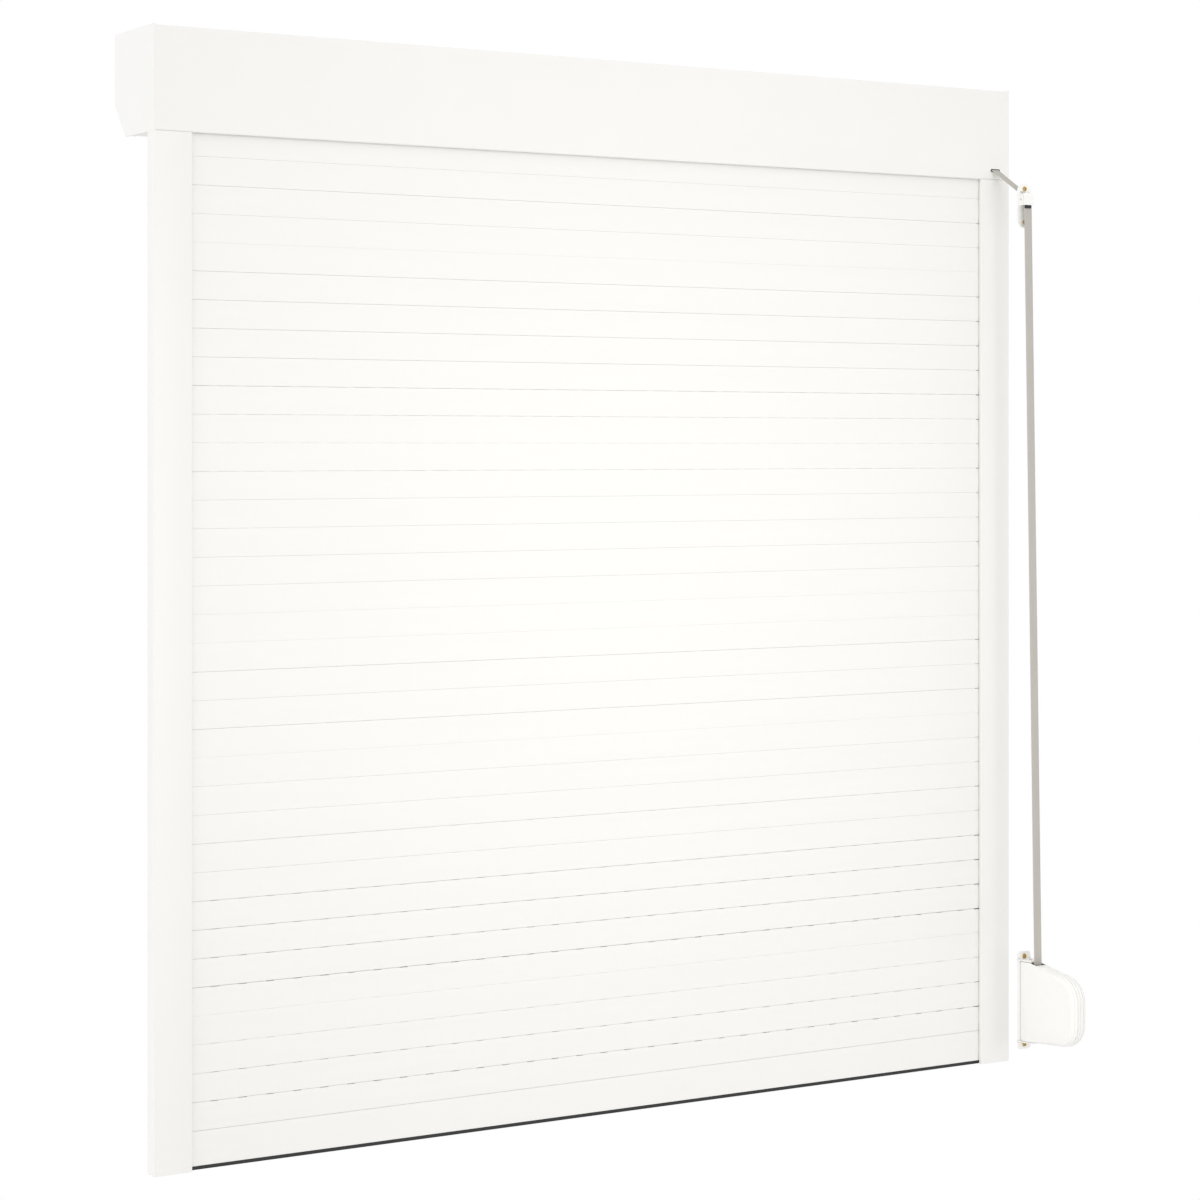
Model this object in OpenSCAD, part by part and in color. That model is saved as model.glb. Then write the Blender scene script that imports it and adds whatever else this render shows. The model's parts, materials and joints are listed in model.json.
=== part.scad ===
// Surface-mounted roller shutter with strap drive.
// Origin: mid-width on the mounting plane, level with the winding shaft.
// X runs along the shaft, +Y points to the street, +Z is up.

/* [Element] */
// Width over both guide rails
shutter_w = 1390; // [800:10:2400]
// Length of the guide rails
rail_l = 1338; // [700:1:2400]

/* [Box] */
// Height of the shutter box
box_h = 137; // [133:1:165]
// Depth of the shutter box
box_d = 134; // [130:1:165]
// Depth of the slope at the street-side lower edge
slope_d = 37; // [25:1:42]
// Height of the slope at the street-side lower edge
slope_h = 45; // [30:1:50]
// Thickness of the roll-formed panels
panel_t = 1.2; // [0.8:0.1:1.8]
// Thickness of the end caps
cap_t = 3; // [2:0.5:5]
// How far the end caps stand above the panels
cap_proud = 1.5; // [0.5:0.5:3]
// Radius of the end caps' upper and lower street-side corners
cap_round = 5; // [2:1:9]
// Radius of the panels' bends, at the middle of the sheet
bend_r = 1.8; // [1:0.1:3]
// Height of the joint between top panel and service cover, below the panel's top
cover_joint = 12; // [8:1:16]

/* [Rails] */
// Width of a guide rail
rail_w = 53; // [50:1:66]
// Depth of a guide rail
rail_d = 22; // [22:1:30]
// Wall of a guide rail
rail_wall = 1.6; // [1.2:0.1:2]
// Width of the closed screw chamber
chamber_w = 22.4; // [18:0.2:23]
// Width of the lips that hold the seals
lip_w = 8; // [7:0.5:10]

/* [Curtain] */
// Height from slat to slat
slat_pitch = 37; // [34:1:44]
// Thickness of a slat
slat_t = 7.6; // [7:0.1:8.4]
// Open joint between two slats
slat_gap = 0.4; // [0.3:0.1:1]
// Wall of a slat
slat_wall = 0.9; // [0.7:0.1:1.1]
// Crown of the slat's faces
slat_crown = 0.4; // [0.1:0.1:0.8]
// How far the slats reach into a rail
insert = 14.5; // [12:0.5:15]
// Length of a light slit
slit_l = 12; // [10:1:28]
// Distance from light slit to light slit
slit_pitch = 39.2; // [32:0.2:60]
// Height of the bottom bar
bar_h = 45; // [40:1:60]
// Height of the rubber seal under the bottom bar
seal_h = 5; // [3:0.5:8]
// Slats that stay inside the box
slats_in_box = 1; // [1:1:2]

/* [Shaft] */
// Width across the flats of the octagonal shaft
shaft_sw = 40; // [36:1:46]
// Wall of the shaft tube
shaft_wall = 1; // [0.6:0.1:2]
// Radius of the stub axles
axle_r = 6; // [5:0.5:8]
// Outer radius of the bearings
bearing_r = 15; // [13:0.5:17]
// Length of the bearings
bearing_l = 11; // [8:0.5:12]
// Radius of the strap pulley's flanges
pulley_r = 52; // [50:1:56]
// Radius of the first turn of strap on the pulley
core_r = 36; // [33:1:38]
// Turns of strap on the pulley with the curtain down
pulley_turns = 5.5; // [3:0.5:6]
// Width of a hanger
hanger_w = 30; // [20:1:50]

/* [Strap] */
// Width of the strap
strap_w = 14; // [12:1:14]
// Thickness of the strap
strap_t = 1.2; // [0.8:0.1:1.4]
// Height of the outlet slot above the box's underside
outlet_h = 14; // [13:0.5:20]
// Distance of the room wall in front of the mounting plane
wall_offset = 67; // [50:1:120]

/* [Strap guide] */
// Drop from the box's underside to the guide's roller
guide_drop = 35; // [33:1:60]
// Height of the guide's base
guide_h = 66; // [60:1:80]
// Width of the guide's base
guide_w = 25; // [23:0.5:28]
// Distance between the guide's screws
guide_screws_l = 50; // [46:1:52]
// Radius of the guide's roller
roller_r = 4.5; // [4:0.5:5.5]

/* [Winder] */
// Height of the winder's middle above the rail's foot
winder_h = 106; // [100:1:500]
// Distance between the winder's screws
winder_screws_l = 132; // [128:1:138]
// Depth of the winder's case in front of the wall
winder_d = 131; // [120:1:140]
// Thickness of the winder's case
winder_t = 26; // [25:0.5:32]
// Radius of the case's rounded side edges
case_soft = 9; // [6:0.5:10]
// Radius of the case's upper front corner
case_upper_r = 36; // [24:1:44]
// Radius of the case's lower front corner
case_lower_r = 36; // [24:1:46]
// Distance of the reel's axle from the wall
reel_d = 58; // [55:1:60]
// Wall of the winder's case
winder_wall = 2; // [1.5:0.1:2.4]
// Radius of the reel's flanges
reel_r = 38; // [34:1:40]
// Radius of the first turn of strap on the reel
reel_core_r = 17; // [16:0.5:20]
// Turns of strap on the reel with the curtain down
reel_turns = 2.5; // [1:0.5:4]

/* [Hidden] */
$fn = 48;

// Colours
white = [0.96, 0.96, 0.94];
white_plastic = [0.95, 0.95, 0.93];
steel = [0.66, 0.67, 0.69];
grey_plastic = [0.45, 0.46, 0.47];
strap_grey = [0.75, 0.72, 0.69];
brass = [0.72, 0.58, 0.30];
black_rubber = [0.05, 0.05, 0.05];

// Clearances
seat_gap = 0.3;
run_gap = 0.05;
sheet_gap = 0.2;
cut = 1;

// Levels and planes
half_w = shutter_w / 2;
box_top = box_h / 2;
box_bottom = -box_h / 2;
rail_bottom = box_bottom - rail_l;
panel_top = box_top - cap_proud;
panel_street = box_d - cap_proud;
cap_in = half_w - cap_t;
curtain_y = rail_d / 2;
shaft_y = box_d / 2;
wall_y = -wall_offset;
mouth_y = rail_d + 1;
panel_lip = 4.5;

// Rails: mouth between the lips and the seal pockets in them
mouth_w = slat_t + 2.8;
pocket_w = 4;
pocket_neck = 2.4;
pocket_d = 3.2;
pocket_lip = 1;
pocket_u = rail_w - lip_w / 2;
plug_l = 18;
plug_wall = 2;
pin_l = 60;

// Curtain levels and the slat's hook
bar_bottom = rail_bottom + seal_h;
bar_top = bar_bottom + bar_h;
first_slat = bar_top + slat_gap;
slat_count = ceil((box_bottom - first_slat) / slat_pitch) + slats_in_box;
curtain_top = first_slat + slat_count * slat_pitch - slat_gap;
slat_end = half_w - rail_w + insert;
hook_lip = 1;
hook_neck = 1.4;
hook_bead_w = 3.4;
hook_bead_h = 2.2;
hook_play = 1;
hook_travel = 3.6;
bead_seat = 0.2;
groove_w = hook_bead_w + hook_play;
groove_slot = hook_neck + hook_play;
groove_h = hook_lip + hook_bead_h + hook_travel;
bead_z = slat_gap + hook_lip + bead_seat;
slit_margin = 40;
slit_count = floor((2 * (slat_end - slit_margin) - slit_l) / slit_pitch) + 1;
lock_t = 1.5;
lock_l = 18;
glide_t = 3;
stop_r = 6;
stop_l = 12;
stop_inset = 120;

// Shaft
tube_end = cap_in - bearing_l - 1;
plug_depth = 60;
flange_t = 1.4;
flange_gap = 0.5;
turn_pitch = strap_t + 0.4;
wound_r = core_r + pulley_turns * turn_pitch + strap_t;
strap_x = half_w - rail_w / 2;
hanger_t = 0.8;
hanger_count = 4;
hanger_inset = 160;

// Strap outlet
slot_w = strap_w + 4;
slot_h = strap_t + 3.3;
outlet_z = box_bottom + outlet_h;
outlet_wall = 0.6;
strap_rise = 0.6;
strap_bend = 3;

// Strap guide
guide_t = 2.5;
roller_d = roller_r + seat_gap;
roller_y = wall_y - roller_d;
roller_z = box_bottom - guide_drop;
roller_w = strap_w + 0.6;
cheek_x = roller_w / 2 + seat_gap;
cheek_t = 1.2;
hood_t = 1.2;
hood_gap = 0.4;
hood_reach = roller_r + strap_t + seat_gap + hood_gap;
hood_drop = 9;
brow_share = 0.6;
pin_r = 1.5;

// Winder
winder_z = rail_bottom + winder_h;
bracket_w = 24;
bracket_t = 2;
bracket_h = winder_screws_l + 14;
fold_w = 2.3;
fold_rise = 1.1;
ear_t = 2;
ear_d = 30;
swing_gap = (sqrt(2) - 1) * (winder_t / 2 - case_soft) + seat_gap;
pivot_y = wall_y - bracket_t - swing_gap - winder_t / 2;
pivot_r = 2.5;
pivot_l = 8;
pivot_head = 0.6;
mouth_x = strap_w / 2 + 0.8;
mouth_half = 6.5;
mouth_wall = 1;
mouth_l = 14;
case_low = -58.5;
case_high = 60;
case_drop = 14.5;
case_rise = 8;
reel_y = wall_y - reel_d;
reel_z = winder_z - 1;
reel_axle_r = 4;
reel_flange_t = 1.2;
reel_half = strap_w / 2 + flange_gap;
reel_wound_r = reel_core_r + reel_turns * turn_pitch + strap_t;
spring_t = 0.5;
spring_turns = 5;
wall_screw_r = 1.9;
wall_hole_r = 2.1;
case_screw_r = 1.5;
case_screw_boss = 4;
case_screw_in = 24;
case_screw_low = 46;
case_screw_high = 34;
case_screw_d = 96;
parting = 0.1;
case_screw_places = [
    [wall_y - winder_d + case_screw_in, winder_z],
    [wall_y - case_screw_in, winder_z - case_screw_low],
    [wall_y - case_screw_d, winder_z + case_screw_high]
];

// Direction of a vector, and the vector turned a quarter to the left
function unit(v) = v / norm(v);
function left_of(v) = [-v[1], v[0]];
function polar(c, r, a) = c + r * [cos(a), sin(a)];

// Points of an arc round c
function arc(c, r, from, to, steps) = [for (i = [0:steps]) polar(c, r, from + (to - from) * i / steps)];

// Fillet of radius r at b, between the sides to a and c
function fillet(a, b, c, r, steps) =
    let (u = unit(a - b), v = unit(c - b), half = acos(u * v) / 2)
    let (mid = b + unit(u + v) * r / sin(half), p = b + u * r / tan(half), q = b + v * r / tan(half))
    let (from = atan2(p[1] - mid[1], p[0] - mid[0]), to = atan2(q[1] - mid[1], q[0] - mid[0]))
    r > 0 ? arc(mid, r, from, from + (to - from + 540) % 360 - 180, steps) : [b];

// Closed outline whose corners [x, y, radius] are filleted
function rounded(corners, steps = 5) =
    let (n = len(corners), p = [for (c = corners) [c[0], c[1]]])
    [for (i = [0:n - 1]) each fillet(p[(i + n - 1) % n], p[i], p[(i + 1) % n], corners[i][2], steps)];

// Open path whose inner corners [x, y, radius] are filleted
function bent(corners, steps = 4) =
    let (n = len(corners) - 1, p = [for (c = corners) [c[0], c[1]]])
    concat([p[0]],
        [for (i = [1:n - 1]) each fillet(p[i - 1], p[i], p[i + 1], corners[i][2], steps)],
        [p[n]]);

// Open path moved sideways, to its left where d is positive, with mitred corners
function shifted(path, d) =
    let (n = len(path) - 1, way = [for (i = [0:n - 1]) left_of(unit(path[i + 1] - path[i]))])
    [for (i = [0:n])
        let (a = way[max(i - 1, 0)], b = way[min(i, n - 1)], m = unit(a + b))
        path[i] + m * d / (m * a)];

// Outline of a band of thickness t along the middle of a path
function band(path, t) =
    let (right = shifted(path, -t / 2), n = len(right) - 1)
    concat(shifted(path, t / 2), [for (i = [n:-1:0]) right[i]]);

// Touching point on a circle of the line from p, on the side given by 1 or -1
function touch(c, r, p, side) =
    let (v = p - c)
    polar(c, r, atan2(v[1], v[0]) + side * acos(r / norm(v)));

// Spiral round c that grows by one turn pitch a turn and ends at angle a
function spiral(c, r, turns, grow, a, steps = 24) =
    [for (i = [0:turns * steps]) polar(c, r + grow * i / steps, a - 360 * (turns - i / steps))];

// Smooth curve through four control points
function bezier(p, steps) =
    [for (i = [0:steps]) let (t = i / steps, s = 1 - t)
        s * s * s * p[0] + 3 * s * s * t * p[1] + 3 * s * t * t * p[2] + t * t * t * p[3]];

// A (Y, Z) outline carried along X
module along_x(x0, x1) {
    translate([x0, 0, 0]) rotate([90, 0, 90]) linear_extrude(x1 - x0) children();
}

// An (X, Z) outline carried along Y
module along_y(y0, y1) {
    translate([0, y1, 0]) rotate([90, 0, 0]) linear_extrude(y1 - y0) children();
}

module rod_x(r, x0, x1, y, z) {
    translate([x0, y, z]) rotate([0, 90, 0]) cylinder(r = r, h = x1 - x0);
}

module rod_y(r, y0, y1, x, z) {
    translate([x, y1, z]) rotate([90, 0, 0]) cylinder(r = r, h = y1 - y0);
}

module on_both_sides() {
    children();
    mirror([1, 0, 0]) children();
}

// Wall screw with a domed cross-recess head; the head stands on y and the shank runs to the wall
module wall_screw(x, y, z, shank) {
    head_r = 3.5;
    head_h = 2.2;
    rim_h = 0.6;
    recess_w = 0.9;
    recess_l = 4.2;
    recess_d = 2.4;
    dome = [for (a = [0:18:90]) [head_r * cos(a), rim_h + (head_h - rim_h) * sin(a)]];
    difference() {
        translate([x, y, z]) rotate([90, 0, 0]) rotate_extrude()
            polygon(concat([[0, -shank], [wall_screw_r, -shank], [wall_screw_r, 0], [head_r, 0]], dome));
        for (turn = [0, 90])
            translate([x, y - head_h, z]) rotate([0, turn, 0])
                cube([recess_l, recess_d, recess_w], center = true);
    }
}

// Guide rails, in section: u runs from the outer side to the curtain
module seal_pocket(y, way) {
    translate([pocket_u - pocket_neck / 2, way > 0 ? y - pocket_d : y - cut])
        square([pocket_neck, pocket_d + cut]);
    translate([pocket_u - pocket_w / 2, way > 0 ? y - pocket_d : y + pocket_lip])
        square([pocket_w, pocket_d - pocket_lip]);
}

module rail_section() {
    round_r = 1;
    low = (rail_d - mouth_w) / 2;
    web_u = rail_wall + chamber_w;
    difference() {
        polygon(rounded([[0, 0, round_r], [rail_w, 0, round_r], [rail_w, rail_d, round_r],
            [0, rail_d, round_r]], 3));
        translate([rail_wall, rail_wall]) square([chamber_w, rail_d - 2 * rail_wall]);
        translate([web_u + rail_wall, rail_wall])
            square([rail_w - lip_w - web_u - rail_wall, rail_d - 2 * rail_wall]);
        translate([rail_w - lip_w - cut, low]) square([lip_w + 2 * cut, mouth_w]);
        seal_pocket(low, 1);
        seal_pocket(low + mouth_w, -1);
    }
}

module rail() {
    translate([-half_w, 0, rail_bottom]) linear_extrude(rail_l) rail_section();
}

module rail_left() {
    color(white) rail();
}

module rail_right() {
    color(white) mirror([1, 0, 0]) rail();
}

module seal_section(y, way) {
    foot_w = pocket_w - 2 * seat_gap;
    blade_w = pocket_neck - 2 * seat_gap;
    reach = (mouth_w - slat_t) / 2 - slat_crown - seat_gap;
    foot_y = y - way * (pocket_d - seat_gap);
    neck_y = y - way * (pocket_lip + seat_gap);
    translate([pocket_u - foot_w / 2, min(foot_y, neck_y)]) square([foot_w, abs(neck_y - foot_y)]);
    tip_y = y + way * reach;
    translate([pocket_u - blade_w / 2, min(foot_y, tip_y)]) square([blade_w, abs(tip_y - foot_y)]);
}

module rail_seals() {
    low = (rail_d - mouth_w) / 2;
    color(grey_plastic) on_both_sides() translate([-half_w, 0, rail_bottom]) linear_extrude(rail_l) {
        seal_section(low, 1);
        seal_section(low + mouth_w, -1);
    }
}

// Plugs that close the foot of the screw chambers
module rail_plugs() {
    w = chamber_w - 2 * run_gap;
    d = rail_d - 2 * (rail_wall + run_gap);
    color(white_plastic) on_both_sides()
        translate([-half_w + rail_wall + run_gap, rail_wall + run_gap, rail_bottom])
            difference() {
                cube([w, d, plug_l]);
                translate([plug_wall, plug_wall, plug_wall])
                    cube([w - 2 * plug_wall, d - 2 * plug_wall, plug_l]);
            }
}

// Funnels on the rails' heads that lead the slats in
module inlet_guides() {
    inlet_h = 13;
    inlet_wall = 1.5;
    foot_l = 12;
    flare = 2.6;
    play = 0.8;
    jaw_gap = slat_crown + 0.5;
    wall_u = rail_w - insert - glide_t - play - inlet_wall;
    jaw_low = curtain_y - slat_t / 2 - jaw_gap;
    jaw_high = 2 * curtain_y - jaw_low;
    jaw_out = panel_lip + seat_gap;
    foot_out = rail_wall + seat_gap;
    color(grey_plastic) on_both_sides() {
        difference() {
            along_x(-half_w + wall_u, -half_w + rail_w - cut)
                translate([jaw_out, box_bottom]) square([2 * (curtain_y - jaw_out), inlet_h]);
            along_x(-half_w + wall_u + inlet_wall, -half_w + rail_w)
                polygon([[jaw_low, box_bottom - cut], [jaw_high, box_bottom - cut],
                    [jaw_high, box_bottom + inlet_h / 2], [jaw_high + flare, box_bottom + inlet_h + cut],
                    [jaw_low - flare, box_bottom + inlet_h + cut], [jaw_low, box_bottom + inlet_h / 2]]);
        }
        for (y = [foot_out, jaw_high])
            translate([-half_w + wall_u, y, box_bottom - foot_l])
                cube([rail_w - lip_w - wall_u - seat_gap, jaw_low - foot_out, foot_l]);
    }
}

// The box's outline from the curtain's mouth round the street side and over the top to the rear face
box_line = [
    [mouth_y, box_bottom], [box_d - slope_d, box_bottom], [box_d, box_bottom + slope_h],
    [box_d, box_top], [0, box_top]
];
cap_rim_t = 1.6;
cap_rim_l = 11;
rim_in = cap_proud + panel_t + sheet_gap;
rim_bend = max(bend_r - panel_t / 2 - sheet_gap, 0);
rim_line = concat([[mouth_y + panel_t + bend_r, box_bottom]], [for (i = [1:3]) box_line[i]],
    [[panel_t + bend_r + seat_gap, box_top]]);
screw_y = [mouth_y + 12, box_d - slope_d - 10];
screw_x = cap_in - cap_rim_l / 2;
screw_r = 1.8;
joggle_h = 1.5;
pin_in = rail_wall + seat_gap;
pin_w = chamber_w - 2 * seat_gap;

// Rim of the cap in section: its outside follows the bends of the sheets
module rim_section() {
    inner = shifted(rim_line, rim_in + cap_rim_t);
    n = len(inner) - 1;
    polygon(concat(bent([for (p = shifted(rim_line, rim_in)) [p[0], p[1], rim_bend]]),
        [for (i = [n:-1:0]) inner[i]]));
}

module end_cap() {
    boss_l = bearing_l - 2;
    boss_r = bearing_r + 4;
    rib_t = 2;
    rib_h = 4;
    rib_l = 24;
    pin_wall = 2.7;
    pin_root = 5;
    pin_d = rail_d - 2 * pin_in;
    screw_hole_l = 12;
    color(white) difference() {
        union() {
            along_x(-half_w, -cap_in)
                polygon(rounded([[0, box_bottom, 0], [box_d - slope_d, box_bottom, cap_round],
                    [box_d, box_bottom + slope_h, 2 * cap_round], [box_d, box_top, cap_round],
                    [0, box_top, 1]]));
            along_x(-cap_in - cut, -cap_in + cap_rim_l) rim_section();
            rod_x(boss_r, -cap_in - cut, -cap_in + boss_l, shaft_y, 0);
            for (a = [0:60:300])
                translate([-cap_in - cut, shaft_y, 0]) rotate([a, 0, 0])
                    translate([0, boss_r - cut, -rib_t / 2]) cube([rib_h + cut, rib_l, rib_t]);
            translate([-half_w + pin_in, pin_in, box_bottom - pin_l]) cube([pin_w, pin_d, pin_l + pin_root]);
        }
        rod_x(bearing_r + run_gap, -cap_in, -cap_in + boss_l + cut, shaft_y, 0);
        translate([-half_w + pin_in + pin_wall, pin_in + pin_wall, box_bottom - pin_l - cut])
            cube([pin_w - 2 * pin_wall, pin_d - 2 * pin_wall, pin_l - pin_root]);
        for (y = screw_y)
            translate([-screw_x, y, box_bottom]) cylinder(r = screw_r + run_gap, h = screw_hole_l);
    }
}

module end_cap_left() {
    end_cap();
}

module end_cap_right() {
    mirror([1, 0, 0]) end_cap();
}

// Outlet slot: a round-ended slot through the rear face
module slot_shape(w, h) {
    square([w - h, h], center = true);
    for (s = [-1, 1]) translate([s * (w - h) / 2, 0]) circle(d = h);
}

// Rear face and top in one bent sheet: a lip at the mouth, cut away at the rails' pins, and a joggled
// tongue at the street side
module box_rear_panel() {
    joggle = panel_t + sheet_gap;
    tongue = 9;
    mid = panel_t / 2;
    street = panel_street - mid;
    joint = panel_top - cover_joint;
    line = bent([
        [panel_lip, box_bottom + mid, 0], [mid, box_bottom + mid, bend_r], [mid, panel_top - mid, bend_r],
        [street, panel_top - mid, bend_r], [street, joint, mid], [street - joggle, joint - joggle_h, mid],
        [street - joggle, joint - tongue, 0]
    ]);
    color(white) difference() {
        along_x(-cap_in, cap_in) polygon(band(line, panel_t));
        along_y(-cut, panel_t + cut) translate([strap_x, outlet_z]) slot_shape(slot_w, slot_h);
        on_both_sides()
            translate([cap_in - cap_rim_l - seat_gap, street - joggle - panel_t, joint - tongue - cut])
                cube([cap_rim_l + seat_gap + cut, joggle + 2 * panel_t, tongue + mid + cut]);
        on_both_sides() translate([half_w - pin_in - pin_w - seat_gap, pin_in - seat_gap, box_bottom - cut])
            cube([pin_w, panel_lip, panel_t + bend_r]);
    }
}

// Street side, slope and underside: the sheet that comes off for service
module box_service_cover() {
    lip_h = 9;
    joint_z = panel_top - cover_joint - joggle_h - seat_gap;
    sheet = shifted(box_line, cap_proud + panel_t / 2);
    lip_y = mouth_y + panel_t / 2;
    line = bent([
        [sheet[3][0], joint_z, 0], [sheet[2][0], sheet[2][1], bend_r], [sheet[1][0], sheet[1][1], bend_r],
        [lip_y, sheet[0][1], bend_r], [lip_y, sheet[0][1] + lip_h, 0]
    ]);
    color(white) difference() {
        along_x(-cap_in, cap_in) polygon(band(line, panel_t));
        on_both_sides() for (y = screw_y)
            translate([screw_x, y, box_bottom])
                cylinder(r = screw_r + run_gap, h = cap_proud + panel_t + cut);
    }
}

module cover_screws() {
    head_r = 3.4;
    head_h = 1.3;
    under = box_bottom + cap_proud;
    color(white) on_both_sides() for (y = screw_y) translate([screw_x, y, 0]) {
        translate([0, 0, under - head_h]) cylinder(r1 = head_r * 0.7, r2 = head_r, h = head_h);
        translate([0, 0, under - head_h / 2]) cylinder(r = screw_r, h = head_h / 2 + 6);
    }
}

// Bearings and shaft
module bearing() {
    lip_r = 2;
    color(grey_plastic) difference() {
        union() {
            rod_x(bearing_r, -cap_in, -cap_in + bearing_l, shaft_y, 0);
            rod_x(bearing_r + lip_r, -cap_in + bearing_l - 2, -cap_in + bearing_l, shaft_y, 0);
        }
        rod_x(axle_r + run_gap, -cap_in - cut, -cap_in + bearing_l + cut, shaft_y, 0);
    }
}

module bearing_left() {
    bearing();
}

module bearing_right() {
    mirror([1, 0, 0]) bearing();
}

// Octagon by its width across flats, with flats to the front and on top
module octagon(sw) {
    translate([shaft_y, 0]) rotate(22.5) circle(r = sw / 2 / cos(22.5), $fn = 8);
}

module shaft_tube() {
    color(steel) along_x(-tube_end, tube_end) difference() {
        octagon(shaft_sw);
        octagon(shaft_sw - 2 * shaft_wall);
    }
}

module shaft_plug() {
    skin = 3;
    end_t = 4;
    pocket = 8;
    color(grey_plastic) difference() {
        along_x(-tube_end, -tube_end + plug_depth) octagon(shaft_sw - 2 * shaft_wall - 2 * run_gap);
        rod_x(axle_r + run_gap, -tube_end - cut, -tube_end + plug_depth + cut, shaft_y, 0);
        for (a = [45:90:315])
            translate([-tube_end + end_t, shaft_y, 0]) rotate([a, 0, 0])
                translate([0, axle_r + skin, -pocket / 2])
                    cube([plug_depth, shaft_sw / 2 - shaft_wall - axle_r - 2 * skin, pocket]);
    }
}

module shaft_plug_left() {
    shaft_plug();
}

module shaft_plug_right() {
    mirror([1, 0, 0]) shaft_plug();
}

module axle() {
    collar = 2;
    collar_t = 0.5;
    short = 5;
    color(steel) {
        rod_x(axle_r, -cap_in + seat_gap, -tube_end + plug_depth - short, shaft_y, 0);
        rod_x(axle_r + collar, -tube_end - collar_t, -tube_end, shaft_y, 0);
    }
}

module axle_left() {
    axle();
}

module axle_right() {
    mirror([1, 0, 0]) axle();
}

// Strap pulley with an octagonal bore and lightening holes
module strap_pulley() {
    half = strap_w / 2 + flange_gap;
    hub_r = core_r - seat_gap;
    hole_ring = (shaft_sw / 2 / cos(22.5) + hub_r) / 2;
    hole_r = (hub_r - shaft_sw / 2 / cos(22.5)) / 2 - 2;
    color(grey_plastic) difference() {
        union() {
            rod_x(hub_r, strap_x - half, strap_x + half, shaft_y, 0);
            for (s = [-1, 1])
                rod_x(pulley_r, strap_x + s * (half + flange_t / 2) - flange_t / 2,
                    strap_x + s * (half + flange_t / 2) + flange_t / 2, shaft_y, 0);
        }
        along_x(strap_x - 2 * half, strap_x + 2 * half) octagon(shaft_sw + 2 * run_gap);
        for (a = [22.5:45:337.5])
            rod_x(hole_r, strap_x - 2 * half, strap_x + 2 * half,
                shaft_y + hole_ring * cos(a), hole_ring * sin(a));
    }
}

// Strap route in the (Y, Z) plane: pulley, outlet, guide roller, reel
shaft_c = [shaft_y, 0];
outlet_p = [panel_t / 2, outlet_z + strap_rise];
roller_c = [roller_y, roller_z];
reel_c = [reel_y, reel_z];
strap_mid = strap_t / 2 + seat_gap;
pulley_touch = touch(shaft_c, wound_r + strap_mid, outlet_p, 1);
pulley_angle = atan2(pulley_touch[1] - shaft_c[1], pulley_touch[0] - shaft_c[0]);
roller_touch = touch(roller_c, roller_r + strap_mid, outlet_p, 1);
roller_angle = atan2(roller_touch[1] - roller_c[1], roller_touch[0] - roller_c[0]);
run = reel_c - roller_c;
run_turn = acos((roller_r + reel_wound_r + 2 * strap_mid) / norm(run));
run_angle = atan2(run[1], run[0]) - run_turn;
run_foot = polar(reel_c, -(reel_wound_r + strap_mid), run_angle);
strap_path = concat(
    [pulley_touch],
    fillet(pulley_touch, outlet_p, roller_touch, strap_bend, 4),
    arc(roller_c, roller_r + strap_mid, roller_angle, run_angle + 360, 6),
    [run_foot]
);

module strap_band(path) {
    color(strap_grey) along_x(strap_x - strap_w / 2, strap_x + strap_w / 2) polygon(band(path, strap_t));
}

module strap() {
    strap_band(strap_path);
}

module strap_on_pulley() {
    strap_band(spiral(shaft_c, core_r + strap_t / 2, pulley_turns, turn_pitch, pulley_angle));
}

module strap_outlet() {
    flange = 2.5;
    flange_t_in = 1.5;
    color(grey_plastic) difference() {
        union() {
            along_y(0, panel_t + cut) translate([strap_x, outlet_z]) slot_shape(slot_w - 0.2, slot_h - 0.2);
            along_y(panel_t, panel_t + flange_t_in) translate([strap_x, outlet_z])
                slot_shape(slot_w + 2 * flange, slot_h + 2 * flange);
        }
        along_y(-cut, panel_t + flange_t_in + cut) translate([strap_x, outlet_z])
            slot_shape(slot_w - 2 * outlet_wall, slot_h - 2 * outlet_wall);
    }
}

// Spring-steel hangers: a shoe on the top slat's bead and a band that lies on the shaft
module hangers() {
    shoe_z = curtain_top + bead_z - hook_lip - bead_seat;
    shoe_wall = 0.6;
    shoe_top = groove_h + 1.5;
    band_end = shaft_y + shaft_sw / 2 * tan(22.5) * 0.6;
    band_z = shaft_sw / 2 + run_gap + hanger_t / 2;
    curve = bezier([[curtain_y, shoe_z + groove_h + 1], [curtain_y, band_z + 4],
        [shaft_y - 34, band_z + 6], [shaft_y - shaft_sw / 2 * tan(22.5), band_z]], 10);
    step = 2 * (slat_end - hanger_inset) / (hanger_count - 1);
    color(steel) for (i = [0:hanger_count - 1])
        translate([-slat_end + hanger_inset + i * step, 0, 0]) {
            along_x(-hanger_w / 2, hanger_w / 2)
                polygon(band(concat(curve, [[band_end, band_z]]), hanger_t));
            along_x(-hanger_w / 2, hanger_w / 2) translate([curtain_y, shoe_z]) difference() {
                translate([-groove_w / 2 - shoe_wall, 0]) square([groove_w + 2 * shoe_wall, shoe_top]);
                groove_shape();
            }
        }
}

// Slats: (Y, Z) section about the curtain's middle, from the lower lips up to the shoulder
module groove_shape() {
    translate([-groove_slot / 2, -cut]) square([groove_slot, hook_lip + 2 * cut]);
    translate([-groove_w / 2, hook_lip]) square([groove_w, groove_h - hook_lip]);
}

// Crowned face from z0 to z1 at half thickness t, as a shallow arc
function crown(z0, z1, t, bow, way) =
    [for (i = [0:4]) let (s = i / 4) [way * (t + 4 * bow * s * (1 - s)), z0 + (z1 - z0) * s]];

function crowned_section(h, t, edge) = concat(
    [[-t + edge, 0], [t - edge, 0]],
    crown(edge, h - edge, t, slat_crown, 1),
    [[t - edge, h], [-t + edge, h]],
    [for (p = crown(h - edge, edge, t, slat_crown, -1)) p]
);

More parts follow.
